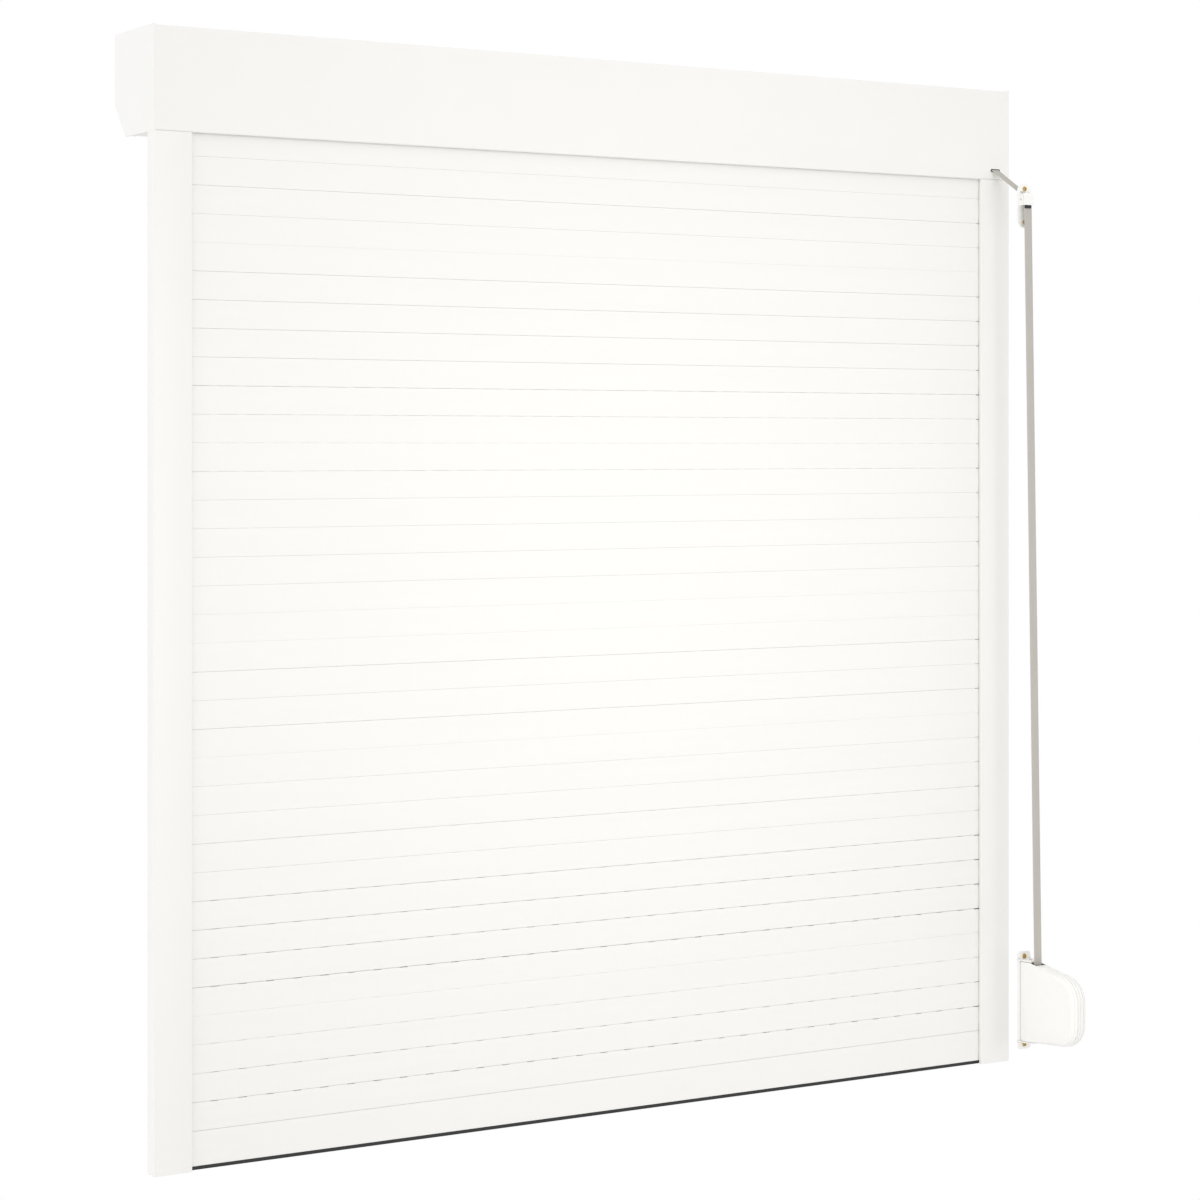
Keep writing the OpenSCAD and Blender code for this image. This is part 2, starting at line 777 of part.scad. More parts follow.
module slat_section(h) {
    half = slat_t / 2;
    edge = 0.3;
    roof = groove_h + slat_wall;
    web_z = (roof + h - slat_wall) / 2;
    difference() {
        polygon(crowned_section(h, half, edge));
        groove_shape();
        translate([-half + slat_wall, roof]) square([slat_t - 2 * slat_wall, web_z - roof - slat_wall / 2]);
        translate([-half + slat_wall, web_z + slat_wall / 2])
            square([slat_t - 2 * slat_wall, h - slat_wall - web_z - slat_wall / 2]);
    }
}

module bead_section(h) {
    translate([-hook_bead_w / 2, h + bead_z]) square([hook_bead_w, hook_bead_h]);
}

// Neck between shoulder and bead, pierced by the light slits
module slat_neck(h) {
    ledge = 0.1;
    first_slit = -(slit_count - 1) / 2 * slit_pitch - slit_l / 2;
    along_y(-hook_neck / 2, hook_neck / 2) difference() {
        translate([-slat_end, h - slat_wall / 2])
            square([2 * slat_end, slat_wall / 2 + bead_z + hook_bead_h / 2]);
        for (i = [0:slit_count - 1])
            translate([first_slit + i * slit_pitch, h + ledge]) square([slit_l, bead_z - 2 * ledge]);
    }
}

module slat() {
    h = slat_pitch - slat_gap;
    along_x(-slat_end, slat_end) {
        slat_section(h);
        bead_section(h);
    }
    slat_neck(h);
}

module slats() {
    color(white) for (i = [0:slat_count - 1])
        translate([0, curtain_y, first_slat + i * slat_pitch]) slat();
}

// Locks pushed into the slats' upper chambers, with a head that runs in the rail
module slat_locks() {
    h = slat_pitch - slat_gap;
    roof = groove_h + slat_wall;
    web_z = (roof + h - slat_wall) / 2;
    tongue_z = web_z + slat_wall / 2 + run_gap;
    tongue_w = slat_t - 2 * slat_wall - 2 * run_gap;
    head_w = slat_t - 1.2;
    head_inset = 2;
    color(grey_plastic) on_both_sides() for (i = [0:slat_count - 1])
        translate([slat_end, curtain_y, first_slat + i * slat_pitch]) {
            along_x(0, lock_t) translate([-head_w / 2, head_inset]) square([head_w, h - 2 * head_inset]);
            along_x(-lock_l, cut) translate([-tongue_w / 2, tongue_z])
                square([tongue_w, h - slat_wall - tongue_z - run_gap]);
        }
}

// Bottom bar: an extruded section with a hook on top and a seal groove below
seal_slot_w = 2.6;
seal_slot_h = 1.2;
seal_foot_w = 4.4;
seal_foot_h = 2.6;
bar_wall = slat_wall + 0.3;
bar_roof = seal_slot_h + seal_foot_h + 1.4;
bar_rib = (bar_roof + bar_h - bar_wall) / 2;

module bar_groove() {
    translate([-seal_slot_w / 2, -cut]) square([seal_slot_w, seal_slot_h + 2 * cut]);
    translate([-seal_foot_w / 2, seal_slot_h]) square([seal_foot_w, seal_foot_h]);
}

module bottom_bar() {
    half = slat_t / 2;
    edge = 0.8;
    color(white) along_x(-slat_end, slat_end) translate([curtain_y, bar_bottom]) {
        difference() {
            polygon(crowned_section(bar_h, half, edge));
            bar_groove();
            translate([-half + bar_wall, bar_roof])
                square([slat_t - 2 * bar_wall, bar_rib - bar_roof - bar_wall / 2]);
            translate([-half + bar_wall, bar_rib + bar_wall / 2])
                square([slat_t - 2 * bar_wall, bar_h - bar_wall - bar_rib - bar_wall / 2]);
        }
        bead_section(bar_h);
        translate([-hook_neck / 2, bar_h - bar_wall / 2])
            square([hook_neck, bar_wall / 2 + bead_z + hook_bead_h / 2]);
    }
}

module bottom_seal() {
    bulb = slat_t / 2 - 0.6;
    bulb_wall = 1.3;
    soft = 1.2;
    foot_z = seal_slot_h + run_gap;
    color(black_rubber) along_x(-slat_end, slat_end) translate([curtain_y, bar_bottom]) {
        translate([-seal_foot_w / 2 + run_gap, foot_z])
            square([seal_foot_w - 2 * run_gap, seal_foot_h - 4 * run_gap]);
        translate([-seal_slot_w / 2 + run_gap, -cut / 2])
            square([seal_slot_w - 2 * run_gap, foot_z + cut]);
        difference() {
            polygon(rounded([[-bulb, -run_gap, 0.5], [-bulb, -seal_h, soft], [bulb, -seal_h, soft],
                [bulb, -run_gap, 0.5]], 4));
            translate([0, -seal_h / 2]) circle(r = seal_h / 2 - bulb_wall, $fn = 12);
        }
    }
}

module bar_glides() {
    half = slat_t / 2 + 0.3;
    edge = 1;
    color(grey_plastic) on_both_sides() translate([slat_end, curtain_y, bar_bottom]) {
        along_x(0, glide_t)
            polygon(rounded([[-half, edge, edge], [half, edge, edge], [half, bar_h - edge, edge],
                [-half, bar_h - edge, edge]], 3));
        along_x(-lock_l, cut) translate([-slat_t / 2 + bar_wall + run_gap, bar_roof + run_gap])
            square([slat_t - 2 * (bar_wall + run_gap), bar_rib - bar_roof - bar_wall / 2 - 2 * run_gap]);
    }
}

// Rubber buffers on the bar's street side that end the travel at the box
bar_face = curtain_y + slat_t / 2 + slat_crown;
stop_x = slat_end - stop_inset;
stop_z = bar_bottom + bar_h / 2;
stop_bore = 2.2;
stop_foot = 1.5;
stop_foot_h = 2.5;
stop_sink = 3;
stop_sink_r = 4.2;

module bar_stops() {
    color(black_rubber) on_both_sides() difference() {
        union() {
            rod_y(stop_r, bar_face, bar_face + stop_l, stop_x, stop_z);
            rod_y(stop_r + stop_foot, bar_face, bar_face + stop_foot_h, stop_x, stop_z);
        }
        rod_y(stop_bore, bar_face - cut, bar_face + stop_l + cut, stop_x, stop_z);
        rod_y(stop_sink_r, bar_face + stop_l - stop_sink, bar_face + stop_l + cut, stop_x, stop_z);
    }
}

module bar_stop_screws() {
    head_r = stop_sink_r - 0.4;
    head_h = 2.2;
    head_y = bar_face + stop_l - stop_sink + run_gap;
    color(steel) on_both_sides() {
        rod_y(stop_bore - run_gap, bar_face + run_gap, head_y + head_h / 2, stop_x, stop_z);
        rod_y(head_r, head_y, head_y + head_h, stop_x, stop_z);
    }
}

// Strap guide on the room wall
module guide_plate(w, h, y0, y1, z) {
    along_y(y0, y1) translate([strap_x, z]) {
        square([w, h - w], center = true);
        for (s = [-1, 1]) translate([0, s * (h - w) / 2]) circle(d = w);
    }
}

guide_mid = roller_z - hood_drop;
entry_share = (wall_y - outlet_p[0]) / (roller_touch[0] - outlet_p[0]);
entry_z = outlet_p[1] + (roller_touch[1] - outlet_p[1]) * entry_share;

// Inside of the hood, in side view from the base over the roller: it clears the strap by the hood's gap
hood_roof = roller_z + 2 * roller_r;
hood_line = [
    [wall_y - guide_t, hood_roof], [roller_y - brow_share * hood_reach, hood_roof],
    [roller_y - hood_reach, roller_z + roller_r], [roller_y - hood_reach, roller_z - hood_drop]
];

module guide_base() {
    window_w = strap_w + 2;
    room = 3;
    window_top = entry_z + room;
    window_low = roller_z - roller_r - room / 2;
    root_y = wall_y - guide_t / 2;
    cheek = concat(shifted(hood_line, sheet_gap),
        [[root_y, roller_z - hood_drop], [root_y, hood_roof - sheet_gap]]);
    color(white_plastic) difference() {
        union() {
            guide_plate(guide_w, guide_h, wall_y - guide_t, wall_y, guide_mid);
            for (x = [strap_x - cheek_x - cheek_t, strap_x + cheek_x])
                along_x(x, x + cheek_t) polygon(cheek);
        }
        translate([strap_x - window_w / 2, wall_y - guide_t - cut, window_low])
            cube([window_w, guide_t + 2 * cut, window_top - window_low]);
        rod_x(pin_r + run_gap, strap_x - guide_w, strap_x + guide_w, roller_y, roller_z);
        for (s = [-1, 1])
            rod_y(wall_hole_r, wall_y - guide_t - cut, wall_y + cut, strap_x,
                guide_mid + s * guide_screws_l / 2);
    }
}

// Hood over the roller: a bent cover that lies on the cheeks and ends above the strap's way out
module guide_hood() {
    out_x = cheek_x + cheek_t;
    brow_r = 5;
    outer = [for (p = shifted(hood_line, -hood_t)) [p[0], p[1], brow_r]];
    skin = concat(bent(outer), [for (i = [3:-1:0]) hood_line[i]]);
    color(white_plastic) along_x(strap_x - out_x, strap_x + out_x) polygon(skin);
}

module guide_pin() {
    reach = cheek_x + cheek_t - sheet_gap;
    color(steel) rod_x(pin_r, strap_x - reach, strap_x + reach, roller_y, roller_z);
}

module guide_roller() {
    rim = 0.5;
    color(white_plastic) translate([strap_x - roller_w / 2, roller_y, roller_z]) rotate([0, 90, 0])
        rotate_extrude() polygon([[pin_r + run_gap, 0], [roller_r - rim, 0], [roller_r, rim],
            [roller_r, roller_w - rim], [roller_r - rim, roller_w], [pin_r + run_gap, roller_w]]);
}

module guide_screws() {
    color(brass) for (s = [-1, 1])
        wall_screw(strap_x, wall_y - guide_t, guide_mid + s * guide_screws_l / 2, guide_t);
}

// Winder: a bracket on the wall with two ears and folded long edges, and a D-shaped case that swivels
// between them
module winder_bracket() {
    corner_r = 5;
    color(white) difference() {
        union() {
            along_y(wall_y - bracket_t, wall_y)
                polygon(rounded([for (c = [[-1, -1], [1, -1], [1, 1], [-1, 1]])
                    [strap_x + c[0] * bracket_w / 2, winder_z + c[1] * bracket_h / 2, corner_r]]));
            for (x = [-bracket_w / 2, bracket_w / 2 - fold_w])
                translate([strap_x + x, case_back - fold_rise, winder_z + case_low - seat_gap - ear_t])
                    cube([fold_w, wall_y - case_back + fold_rise,
                        case_high - case_low + 2 * (seat_gap + ear_t)]);
            for (z = [case_low - seat_gap - ear_t, case_high + seat_gap])
                translate([strap_x, 0, winder_z + z]) linear_extrude(ear_t) {
                    translate([-bracket_w / 2, wall_y - ear_d + bracket_w / 2])
                        square([bracket_w, ear_d - bracket_w / 2]);
                    translate([0, wall_y - ear_d + bracket_w / 2]) circle(d = bracket_w);
                }
        }
        for (s = [-1, 1])
            rod_y(wall_hole_r, wall_y - bracket_t - cut, wall_y + cut, strap_x,
                winder_z + s * winder_screws_l / 2);
        translate([strap_x, pivot_y, winder_z - bracket_h]) cylinder(r = pivot_r, h = 2 * bracket_h);
    }
}

module winder_pivot_pins() {
    length = pivot_l + ear_t + seat_gap + pivot_head;
    color(steel) for (z = [case_high - pivot_l, case_low + pivot_l - length])
        translate([strap_x, pivot_y, winder_z + z]) cylinder(r = pivot_r - run_gap, h = length);
}

module winder_screws() {
    color(brass) for (s = [-1, 1])
        wall_screw(strap_x, wall_y - bracket_t, winder_z + s * winder_screws_l / 2, bracket_t);
}

// D outline of the case, drawn in by inset
case_back = pivot_y + winder_t / 2;
case_front = wall_y - winder_d;
back_r = 3;
least_r = 0.4;

function case_outline(inset) =
    [for (p = rounded([
        [case_back - inset, case_low + inset, max(back_r - inset, least_r)],
        [case_front + inset, case_low + case_rise + inset, case_lower_r - inset],
        [case_front + inset, case_high - case_drop - inset, case_upper_r - inset],
        [case_back - inset, case_high - inset, max(back_r - inset, least_r)]], 6)) [p[0], winder_z + p[1]]];

// Height of the case's top line at depth y
function case_top(y) = winder_z + case_high - case_drop * (case_back - y) / (case_back - case_front);

// Solid through rings of equal count, from the first ring to the last
module loft(rings) {
    n = len(rings[0]);
    m = len(rings);
    sides = [for (j = [0:m - 2]) for (i = [0:n - 1]) let (k = (i + 1) % n)
        each [[j * n + i, j * n + k, (j + 1) * n + k], [j * n + i, (j + 1) * n + k, (j + 1) * n + i]]];
    polyhedron([for (r = rings) each r],
        concat(sides, [[for (i = [n - 1:-1:0]) i]], [[for (i = [0:n - 1]) (m - 1) * n + i]]));
}

// Rings of the case at steps [x, inset]
function case_rings(steps) = [for (s = steps) [for (p = case_outline(s[1])) [s[0], p[0], p[1]]]];

// Steps that round over from the rim to the flat side, drawn in by wall
function side_steps(wall) =
    let (flat = winder_t / 2 - case_soft, r = case_soft - wall)
    [for (a = [0:18:90]) [flat + r * sin(a), wall + r * (1 - cos(a))]];

// One half of the case: a rounded side, hollow, with a parting line and a groove beside it on the rim
module case_half() {
    line_w = 0.8;
    groove_x = 2.8;
    line_d = 0.7;
    rim = [[0, line_d], [line_w, 0], [groove_x, 0], [groove_x, line_d], [groove_x + line_w, line_d],
        [groove_x + line_w, 0]];
    difference() {
        loft(case_rings(concat(rim, side_steps(0))));
        loft(case_rings(concat([[-cut, winder_wall]], side_steps(winder_wall))));
        rod_x(reel_axle_r + run_gap, -cut, winder_t / 2 + cut, reel_y, reel_z);
    }
}

module case_cuts() {
    for (z = [case_high - pivot_l - seat_gap, case_low - cut])
        translate([strap_x, pivot_y, winder_z + z]) cylinder(r = pivot_r, h = pivot_l + seat_gap + cut);
    room_x = mouth_x + mouth_wall + seat_gap;
    room_y = mouth_half + seat_gap;
    translate([strap_x - room_x, run_foot[0] - room_y, winder_z + case_high - 2 * mouth_l])
        cube([2 * room_x, 2 * room_y, 3 * mouth_l]);
    for (p = case_screw_places)
        rod_x(case_screw_r + 2 * run_gap, strap_x - winder_t, strap_x + winder_t, p[0], p[1]);
}

module case_bosses(side) {
    pivot_boss = 6;
    skin = winder_wall / 2;
    for (p = case_screw_places)
        rod_x(case_screw_boss, side > 0 ? parting : skin - winder_t / 2,
            side > 0 ? winder_t / 2 - skin : -parting, p[0], p[1]);
    for (z = [case_high - pivot_l - skin, case_low + skin])
        translate([0, pivot_y, winder_z + z]) intersection() {
            cylinder(r = pivot_boss, h = pivot_l);
            translate([side > 0 ? parting : -pivot_boss, -pivot_boss, 0])
                cube([pivot_boss - parting, 2 * pivot_boss, pivot_l]);
        }
}

module winder_case_left() {
    color(white_plastic) difference() {
        translate([strap_x, 0, 0]) {
            mirror([1, 0, 0]) translate([parting, 0, 0]) case_half();
            case_bosses(-1);
        }
        case_cuts();
    }
}

module winder_case_right() {
    color(white_plastic) difference() {
        translate([strap_x, 0, 0]) {
            translate([parting, 0, 0]) case_half();
            case_bosses(1);
        }
        case_cuts();
    }
}

module winder_axle() {
    half = winder_t / 2 - 0.8;
    color(steel) rod_x(reel_axle_r, strap_x - half, strap_x + half, reel_y, reel_z);
}

// Strap mouth: a lined slot in the top of the case, with its upper edge along the case's top line
module winder_mouth() {
    sunk = 0.4;
    y0 = run_foot[0] - mouth_half;
    y1 = run_foot[0] + mouth_half;
    z0 = case_top(y0) - mouth_l;
    color(grey_plastic) difference() {
        along_x(strap_x - mouth_x - mouth_wall, strap_x + mouth_x + mouth_wall)
            polygon([[y0, z0], [y1, z0], [y1, case_top(y1) - sunk], [y0, case_top(y0) - sunk]]);
        translate([strap_x - mouth_x, y0 + mouth_wall, z0 - cut])
            cube([2 * mouth_x, 2 * (mouth_half - mouth_wall), 2 * mouth_l]);
    }
}

module case_screws() {
    half = winder_t / 2 - 1.2;
    color(steel) for (p = case_screw_places)
        rod_x(case_screw_r, strap_x - half, strap_x + half, p[0], p[1]);
}

// Reel: two flanges, a hub that holds the spring, and a bore that runs on the axle
reel_hub_wall = 1.5;
reel_web = 1.5;

module reel_drum() {
    hub_r = reel_core_r - seat_gap;
    color(grey_plastic) difference() {
        union() {
            rod_x(hub_r, strap_x - reel_half, strap_x + reel_half, reel_y, reel_z);
            for (s = [-1, 1])
                rod_x(reel_r, strap_x + s * (reel_half + reel_flange_t / 2) - reel_flange_t / 2,
                    strap_x + s * (reel_half + reel_flange_t / 2) + reel_flange_t / 2, reel_y, reel_z);
        }
        rod_x(hub_r - reel_hub_wall, strap_x - reel_half + reel_web, strap_x + 2 * reel_half,
            reel_y, reel_z);
        rod_x(reel_axle_r + run_gap, strap_x - 2 * reel_half, strap_x + 2 * reel_half, reel_y, reel_z);
    }
}

// Flat spiral spring between the axle and the reel's hub
module reel_spring() {
    outer = reel_core_r - seat_gap - reel_hub_wall - spring_t / 2 - run_gap;
    inner = reel_axle_r + seat_gap + spring_t / 2;
    color(steel) along_x(strap_x - reel_half + reel_web + seat_gap, strap_x + reel_half)
        polygon(band(spiral(reel_c, inner, spring_turns, (outer - inner) / spring_turns, 0, 18), spring_t));
}

module strap_on_reel() {
    turns = spiral([0, 0], reel_core_r + strap_t / 2, reel_turns, turn_pitch, 180 - run_angle);
    strap_band([for (p = turns) reel_c + [p[0], -p[1]]]);
}

rail_left();
rail_right();
rail_seals();
rail_plugs();
inlet_guides();
end_cap_left();
end_cap_right();
box_rear_panel();
box_service_cover();
cover_screws();
bearing_left();
bearing_right();
strap_outlet();
strap();
guide_base();
guide_hood();
guide_pin();
guide_screws();
guide_roller();
winder_bracket();
winder_pivot_pins();
winder_screws();
shaft_tube();
shaft_plug_left();
shaft_plug_right();
axle_left();
axle_right();
strap_pulley();
strap_on_pulley();
hangers();
slats();
slat_locks();
bottom_bar();
bottom_seal();
bar_glides();
bar_stops();
bar_stop_screws();
winder_case_left();
winder_case_right();
winder_axle();
winder_mouth();
case_screws();
reel_drum();
reel_spring();
strap_on_reel();
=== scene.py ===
"""Looks of a surface-mounted roller shutter with a strap drive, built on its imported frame."""

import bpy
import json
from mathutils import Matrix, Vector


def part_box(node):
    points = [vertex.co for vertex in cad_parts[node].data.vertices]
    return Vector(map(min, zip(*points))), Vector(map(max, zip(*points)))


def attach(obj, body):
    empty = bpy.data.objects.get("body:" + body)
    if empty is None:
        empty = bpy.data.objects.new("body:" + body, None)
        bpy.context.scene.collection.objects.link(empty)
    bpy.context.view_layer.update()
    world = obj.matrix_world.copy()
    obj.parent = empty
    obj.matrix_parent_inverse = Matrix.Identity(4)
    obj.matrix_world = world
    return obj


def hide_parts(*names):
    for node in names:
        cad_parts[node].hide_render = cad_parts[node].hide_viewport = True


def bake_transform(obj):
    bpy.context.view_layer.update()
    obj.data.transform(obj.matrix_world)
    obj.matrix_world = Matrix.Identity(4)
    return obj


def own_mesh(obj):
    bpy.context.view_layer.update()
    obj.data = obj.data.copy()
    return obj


bl_info = {
    "name": "Roller shutter",
    "version": (1, 0, 0),
    "blender": (4, 5, 0),
    "location": "View3D > Sidebar > Shutter",
    "description": "Builds the curtain, strap, winder, finishes and stage of a roller shutter",
    "category": "Add Mesh",
}

import json
import math

import bmesh
import bpy
import numpy as np
from bpy.props import FloatProperty, FloatVectorProperty, IntProperty, PointerProperty
from mathutils import Vector

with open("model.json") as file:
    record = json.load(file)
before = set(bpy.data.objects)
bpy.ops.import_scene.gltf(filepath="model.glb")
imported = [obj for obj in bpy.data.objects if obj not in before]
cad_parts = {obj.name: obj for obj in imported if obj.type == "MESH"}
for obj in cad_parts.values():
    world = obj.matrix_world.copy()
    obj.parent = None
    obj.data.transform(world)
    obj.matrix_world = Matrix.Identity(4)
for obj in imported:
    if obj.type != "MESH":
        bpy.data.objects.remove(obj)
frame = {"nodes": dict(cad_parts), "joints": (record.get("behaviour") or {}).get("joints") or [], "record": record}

MM = 0.001
CREASE = math.radians(32)
FLAT = math.radians(0.5)
MERGE = 1e-6
LOW = 0
HIGH = 1
X = 0
Y = 1
Z = 2


def edge_of(node, end, axis):
    """Where a node of the frame starts or ends along an axis, in mm."""
    return round(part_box(node)[end][axis] / MM, 3)


def middle_of(node, axis):
    """Where the middle of a node of the frame is along an axis, in mm."""
    return (edge_of(node, LOW, axis) + edge_of(node, HIGH, axis)) / 2


def joint_places():
    """Where each turning joint of the frame sits, in mm, by its name."""
    turning = [joint for joint in frame["joints"] if "pos_m" in joint]
    return {joint["name"]: [round(part / MM, 3) for part in joint["pos_m"]] for joint in turning}


AT_JOINT = joint_places()


class Surface:
    """Points, faces and UVs of one piece, gathered from grids, then made into one mesh."""

    def __init__(self):
        self.points = []
        self.faces = []
        self.uvs = []
        self.count = 0

    def grid(self, points, uvs=None, wrap=False, keep=None):
        """Adds an (n, m, 3) grid of points as quads; wrap joins the last column to the first."""
        points = np.asarray(points, dtype=float)
        rows, columns = points.shape[:2]
        index = self.count + np.arange(rows * columns).reshape(rows, columns)
        if wrap:
            index = np.concatenate([index, index[:, :1]], axis=1)
        quads = np.stack([index[:-1, :-1], index[:-1, 1:], index[1:, 1:], index[1:, :-1]], axis=-1)
        if keep is not None:
            quads = quads[keep]
        self.faces.extend(quads.reshape(-1, 4).tolist())
        self._add(points.reshape(-1, 3), uvs)
        return index[:, :columns]

    def lid(self, ring):
        """Closes a ring of point numbers with one face."""
        self.faces.append([int(i) for i in ring])

    def tube(self, points, uvs=None):
        """Adds a closed ring carried along the rows of a grid, with a lid at each end."""
        index = self.grid(points, uvs, wrap=True)
        self.lid(index[0])
        self.lid(index[-1][::-1])

    def _add(self, points, uvs):
        self.points.append(points)
        flat = np.zeros((len(points), 2)) if uvs is None else np.asarray(uvs, dtype=float).reshape(-1, 2)
        self.uvs.append(flat)
        self.count += len(points)

    def build(self, name, material, slot):
        """Makes the object at the origin, with outward normals, smooth faces and sharp creases."""
        mesh = bpy.data.meshes.new(name)
        mesh.from_pydata(np.concatenate(self.points), [], self.faces)
        loops = np.zeros(len(mesh.loops), dtype=np.int32)
        mesh.loops.foreach_get("vertex_index", loops)
        layer = mesh.uv_layers.new(name="UVMap")
        layer.uv.foreach_set("vector", np.concatenate(self.uvs)[loops].astype(np.float32).ravel())
        shape = bmesh.new()
        shape.from_mesh(mesh)
        bmesh.ops.recalc_face_normals(shape, faces=shape.faces)
        shape.to_mesh(mesh)
        shape.free()
        mesh.polygons.foreach_set("use_smooth", np.ones(len(mesh.polygons), dtype=bool))
        mesh.set_sharp_from_angle(angle=CREASE)
        mesh.materials.append(material)
        obj = bpy.data.objects.new(name, mesh)
        bpy.context.scene.collection.objects.link(obj)
        return obj


def arc(centre, radius, start, end, steps):
    """Points of a circle's arc: the centre plus the radius turned from start to end, in radians."""
    angle = np.linspace(start, end, steps + 1)
    return np.asarray(centre) + radius * np.stack([np.cos(angle), np.sin(angle)], axis=1)


def fillet(before, corner, after, radius, steps):
    """Arc of a radius that touches both sides of a corner; its centre lies on the corner's bisector."""
    corner = np.asarray(corner, dtype=float)
    to_a = np.asarray(before, dtype=float) - corner
    to_b = np.asarray(after, dtype=float) - corner
    to_a /= np.linalg.norm(to_a)
    to_b /= np.linalg.norm(to_b)
    half = math.acos(float(np.clip(to_a @ to_b, -1, 1))) / 2
    middle = to_a + to_b
    middle = corner + middle / np.linalg.norm(middle) * radius / math.sin(half)
    first = corner + to_a * radius / math.tan(half) - middle
    last = corner + to_b * radius / math.tan(half) - middle
    start = math.atan2(first[1], first[0])
    turn = math.atan2(last[1], last[0]) - start
    turn = (turn + math.pi) % (2 * math.pi) - math.pi
    return arc(middle, radius, start, start + turn, steps)


def rounded(corners, steps):
    """Closed outline whose corners (u, v, radius) are replaced by arcs."""
    count = len(corners)
    parts = []
    for i, (u, v, radius) in enumerate(corners):
        if radius <= 0:
            parts.append(np.array([[u, v]], dtype=float))
            continue
        before = corners[i - 1][:2]
        after = corners[(i + 1) % count][:2]
        parts.append(fillet(before, (u, v), after, radius, steps))
    return np.concatenate(parts)


def upright(half, low, high, foot_edge, head_edge, steps):
    """Outline of a block that reaches half to either side, with an arc at each corner of foot and head."""
    return rounded([(-half, low, foot_edge), (half, low, foot_edge),
                    (half, high, head_edge), (-half, high, head_edge)], steps)


def along_x(outline, ends):
    """Grid that carries a (y, z) outline along X through the given ends."""
    outline = np.asarray(outline, dtype=float)
    ends = np.asarray(ends, dtype=float)
    points = np.empty((len(ends), len(outline), 3))
    points[:, :, 0] = ends[:, None]
    points[:, :, 1:] = outline[None]
    return points


STANDING = [0, 2, 1]
SLAB_STEPS = 3


def slab(outline, low, high, edge):
    """Flat plate with rounded edges, which lies in X and Y; its axes in the order STANDING stand it up.

    The outline is carried from low to high and drawn in at both ends along a quarter circle.
    """
    turn = np.linspace(math.pi / 2, 0, SLAB_STEPS + 1)
    inset = edge * (1 - np.cos(turn))
    step = edge * (1 - np.sin(turn))
    level = np.concatenate([low + step, high - step[::-1]])
    inset = np.concatenate([inset, inset[::-1]])
    middle = (outline.min(axis=0) + outline.max(axis=0)) / 2
    half = (outline.max(axis=0) - outline.min(axis=0)) / 2
    rings = middle + (outline - middle) * (1 - inset[:, None, None] / half)
    height = np.broadcast_to(level[:, None, None], (*rings.shape[:2], 1))
    return np.concatenate([rings, height], axis=2)


def touch(centre, radius, point, side):
    """Where a line from a point touches a circle, on the side given by 1 or -1."""
    away = np.asarray(point, dtype=float) - centre
    angle = math.atan2(away[1], away[0]) + side * math.acos(radius / np.linalg.norm(away))
    return np.asarray(centre) + radius * np.array([math.cos(angle), math.sin(angle)])


def spaced(path, step):
    """Path with points at even steps along each of its straight stretches."""
    parts = []
    for a, b in zip(path[:-1], path[1:]):
        count = max(1, round(float(np.linalg.norm(b - a)) / step))
        share = np.arange(count)[:, None] / count
        parts.append(a + (b - a) * share)
    parts.append(path[-1:])
    return np.concatenate(parts)


BAND_STEPS = 24
ACROSS_POWER = 0.25
THROUGH_POWER = 0.6


def ribbon(surface, path, middle_x, width, thickness):
    """Flat band along a (y, z) path.

    Its section is a flat superellipse: across and through follow the cosine and sine of an angle, each
    raised to a small power, so the band is flat with soft edges. UV runs across and along it in metres.
    """
    path = np.asarray(path, dtype=float)
    tangent = np.gradient(path, axis=0)
    tangent /= np.linalg.norm(tangent, axis=1)[:, None]
    normal = np.stack([-tangent[:, 1], tangent[:, 0]], axis=1)
    angle = np.linspace(0, 2 * np.pi, BAND_STEPS + 1)
    across = np.sign(np.cos(angle)) * np.abs(np.cos(angle)) ** ACROSS_POWER * width / 2
    through = np.sign(np.sin(angle)) * np.abs(np.sin(angle)) ** THROUGH_POWER * thickness / 2
    length = np.concatenate([[0], np.cumsum(np.linalg.norm(np.diff(path, axis=0), axis=1))])
    points = np.empty((len(path), len(angle), 3))
    points[:, :, 0] = middle_x + across
    points[:, :, 1:] = path[:, None] + normal[:, None] * through[None, :, None]
    uvs = np.empty((len(path), len(angle), 2))
    uvs[:, :, 0] = across
    uvs[:, :, 1] = length[:, None]
    index = surface.grid(points * MM, uvs * MM)
    surface.lid(index[0][:-1])
    surface.lid(index[-1][:-1][::-1])


NOISE_RANGE = (0.3, 0.7)


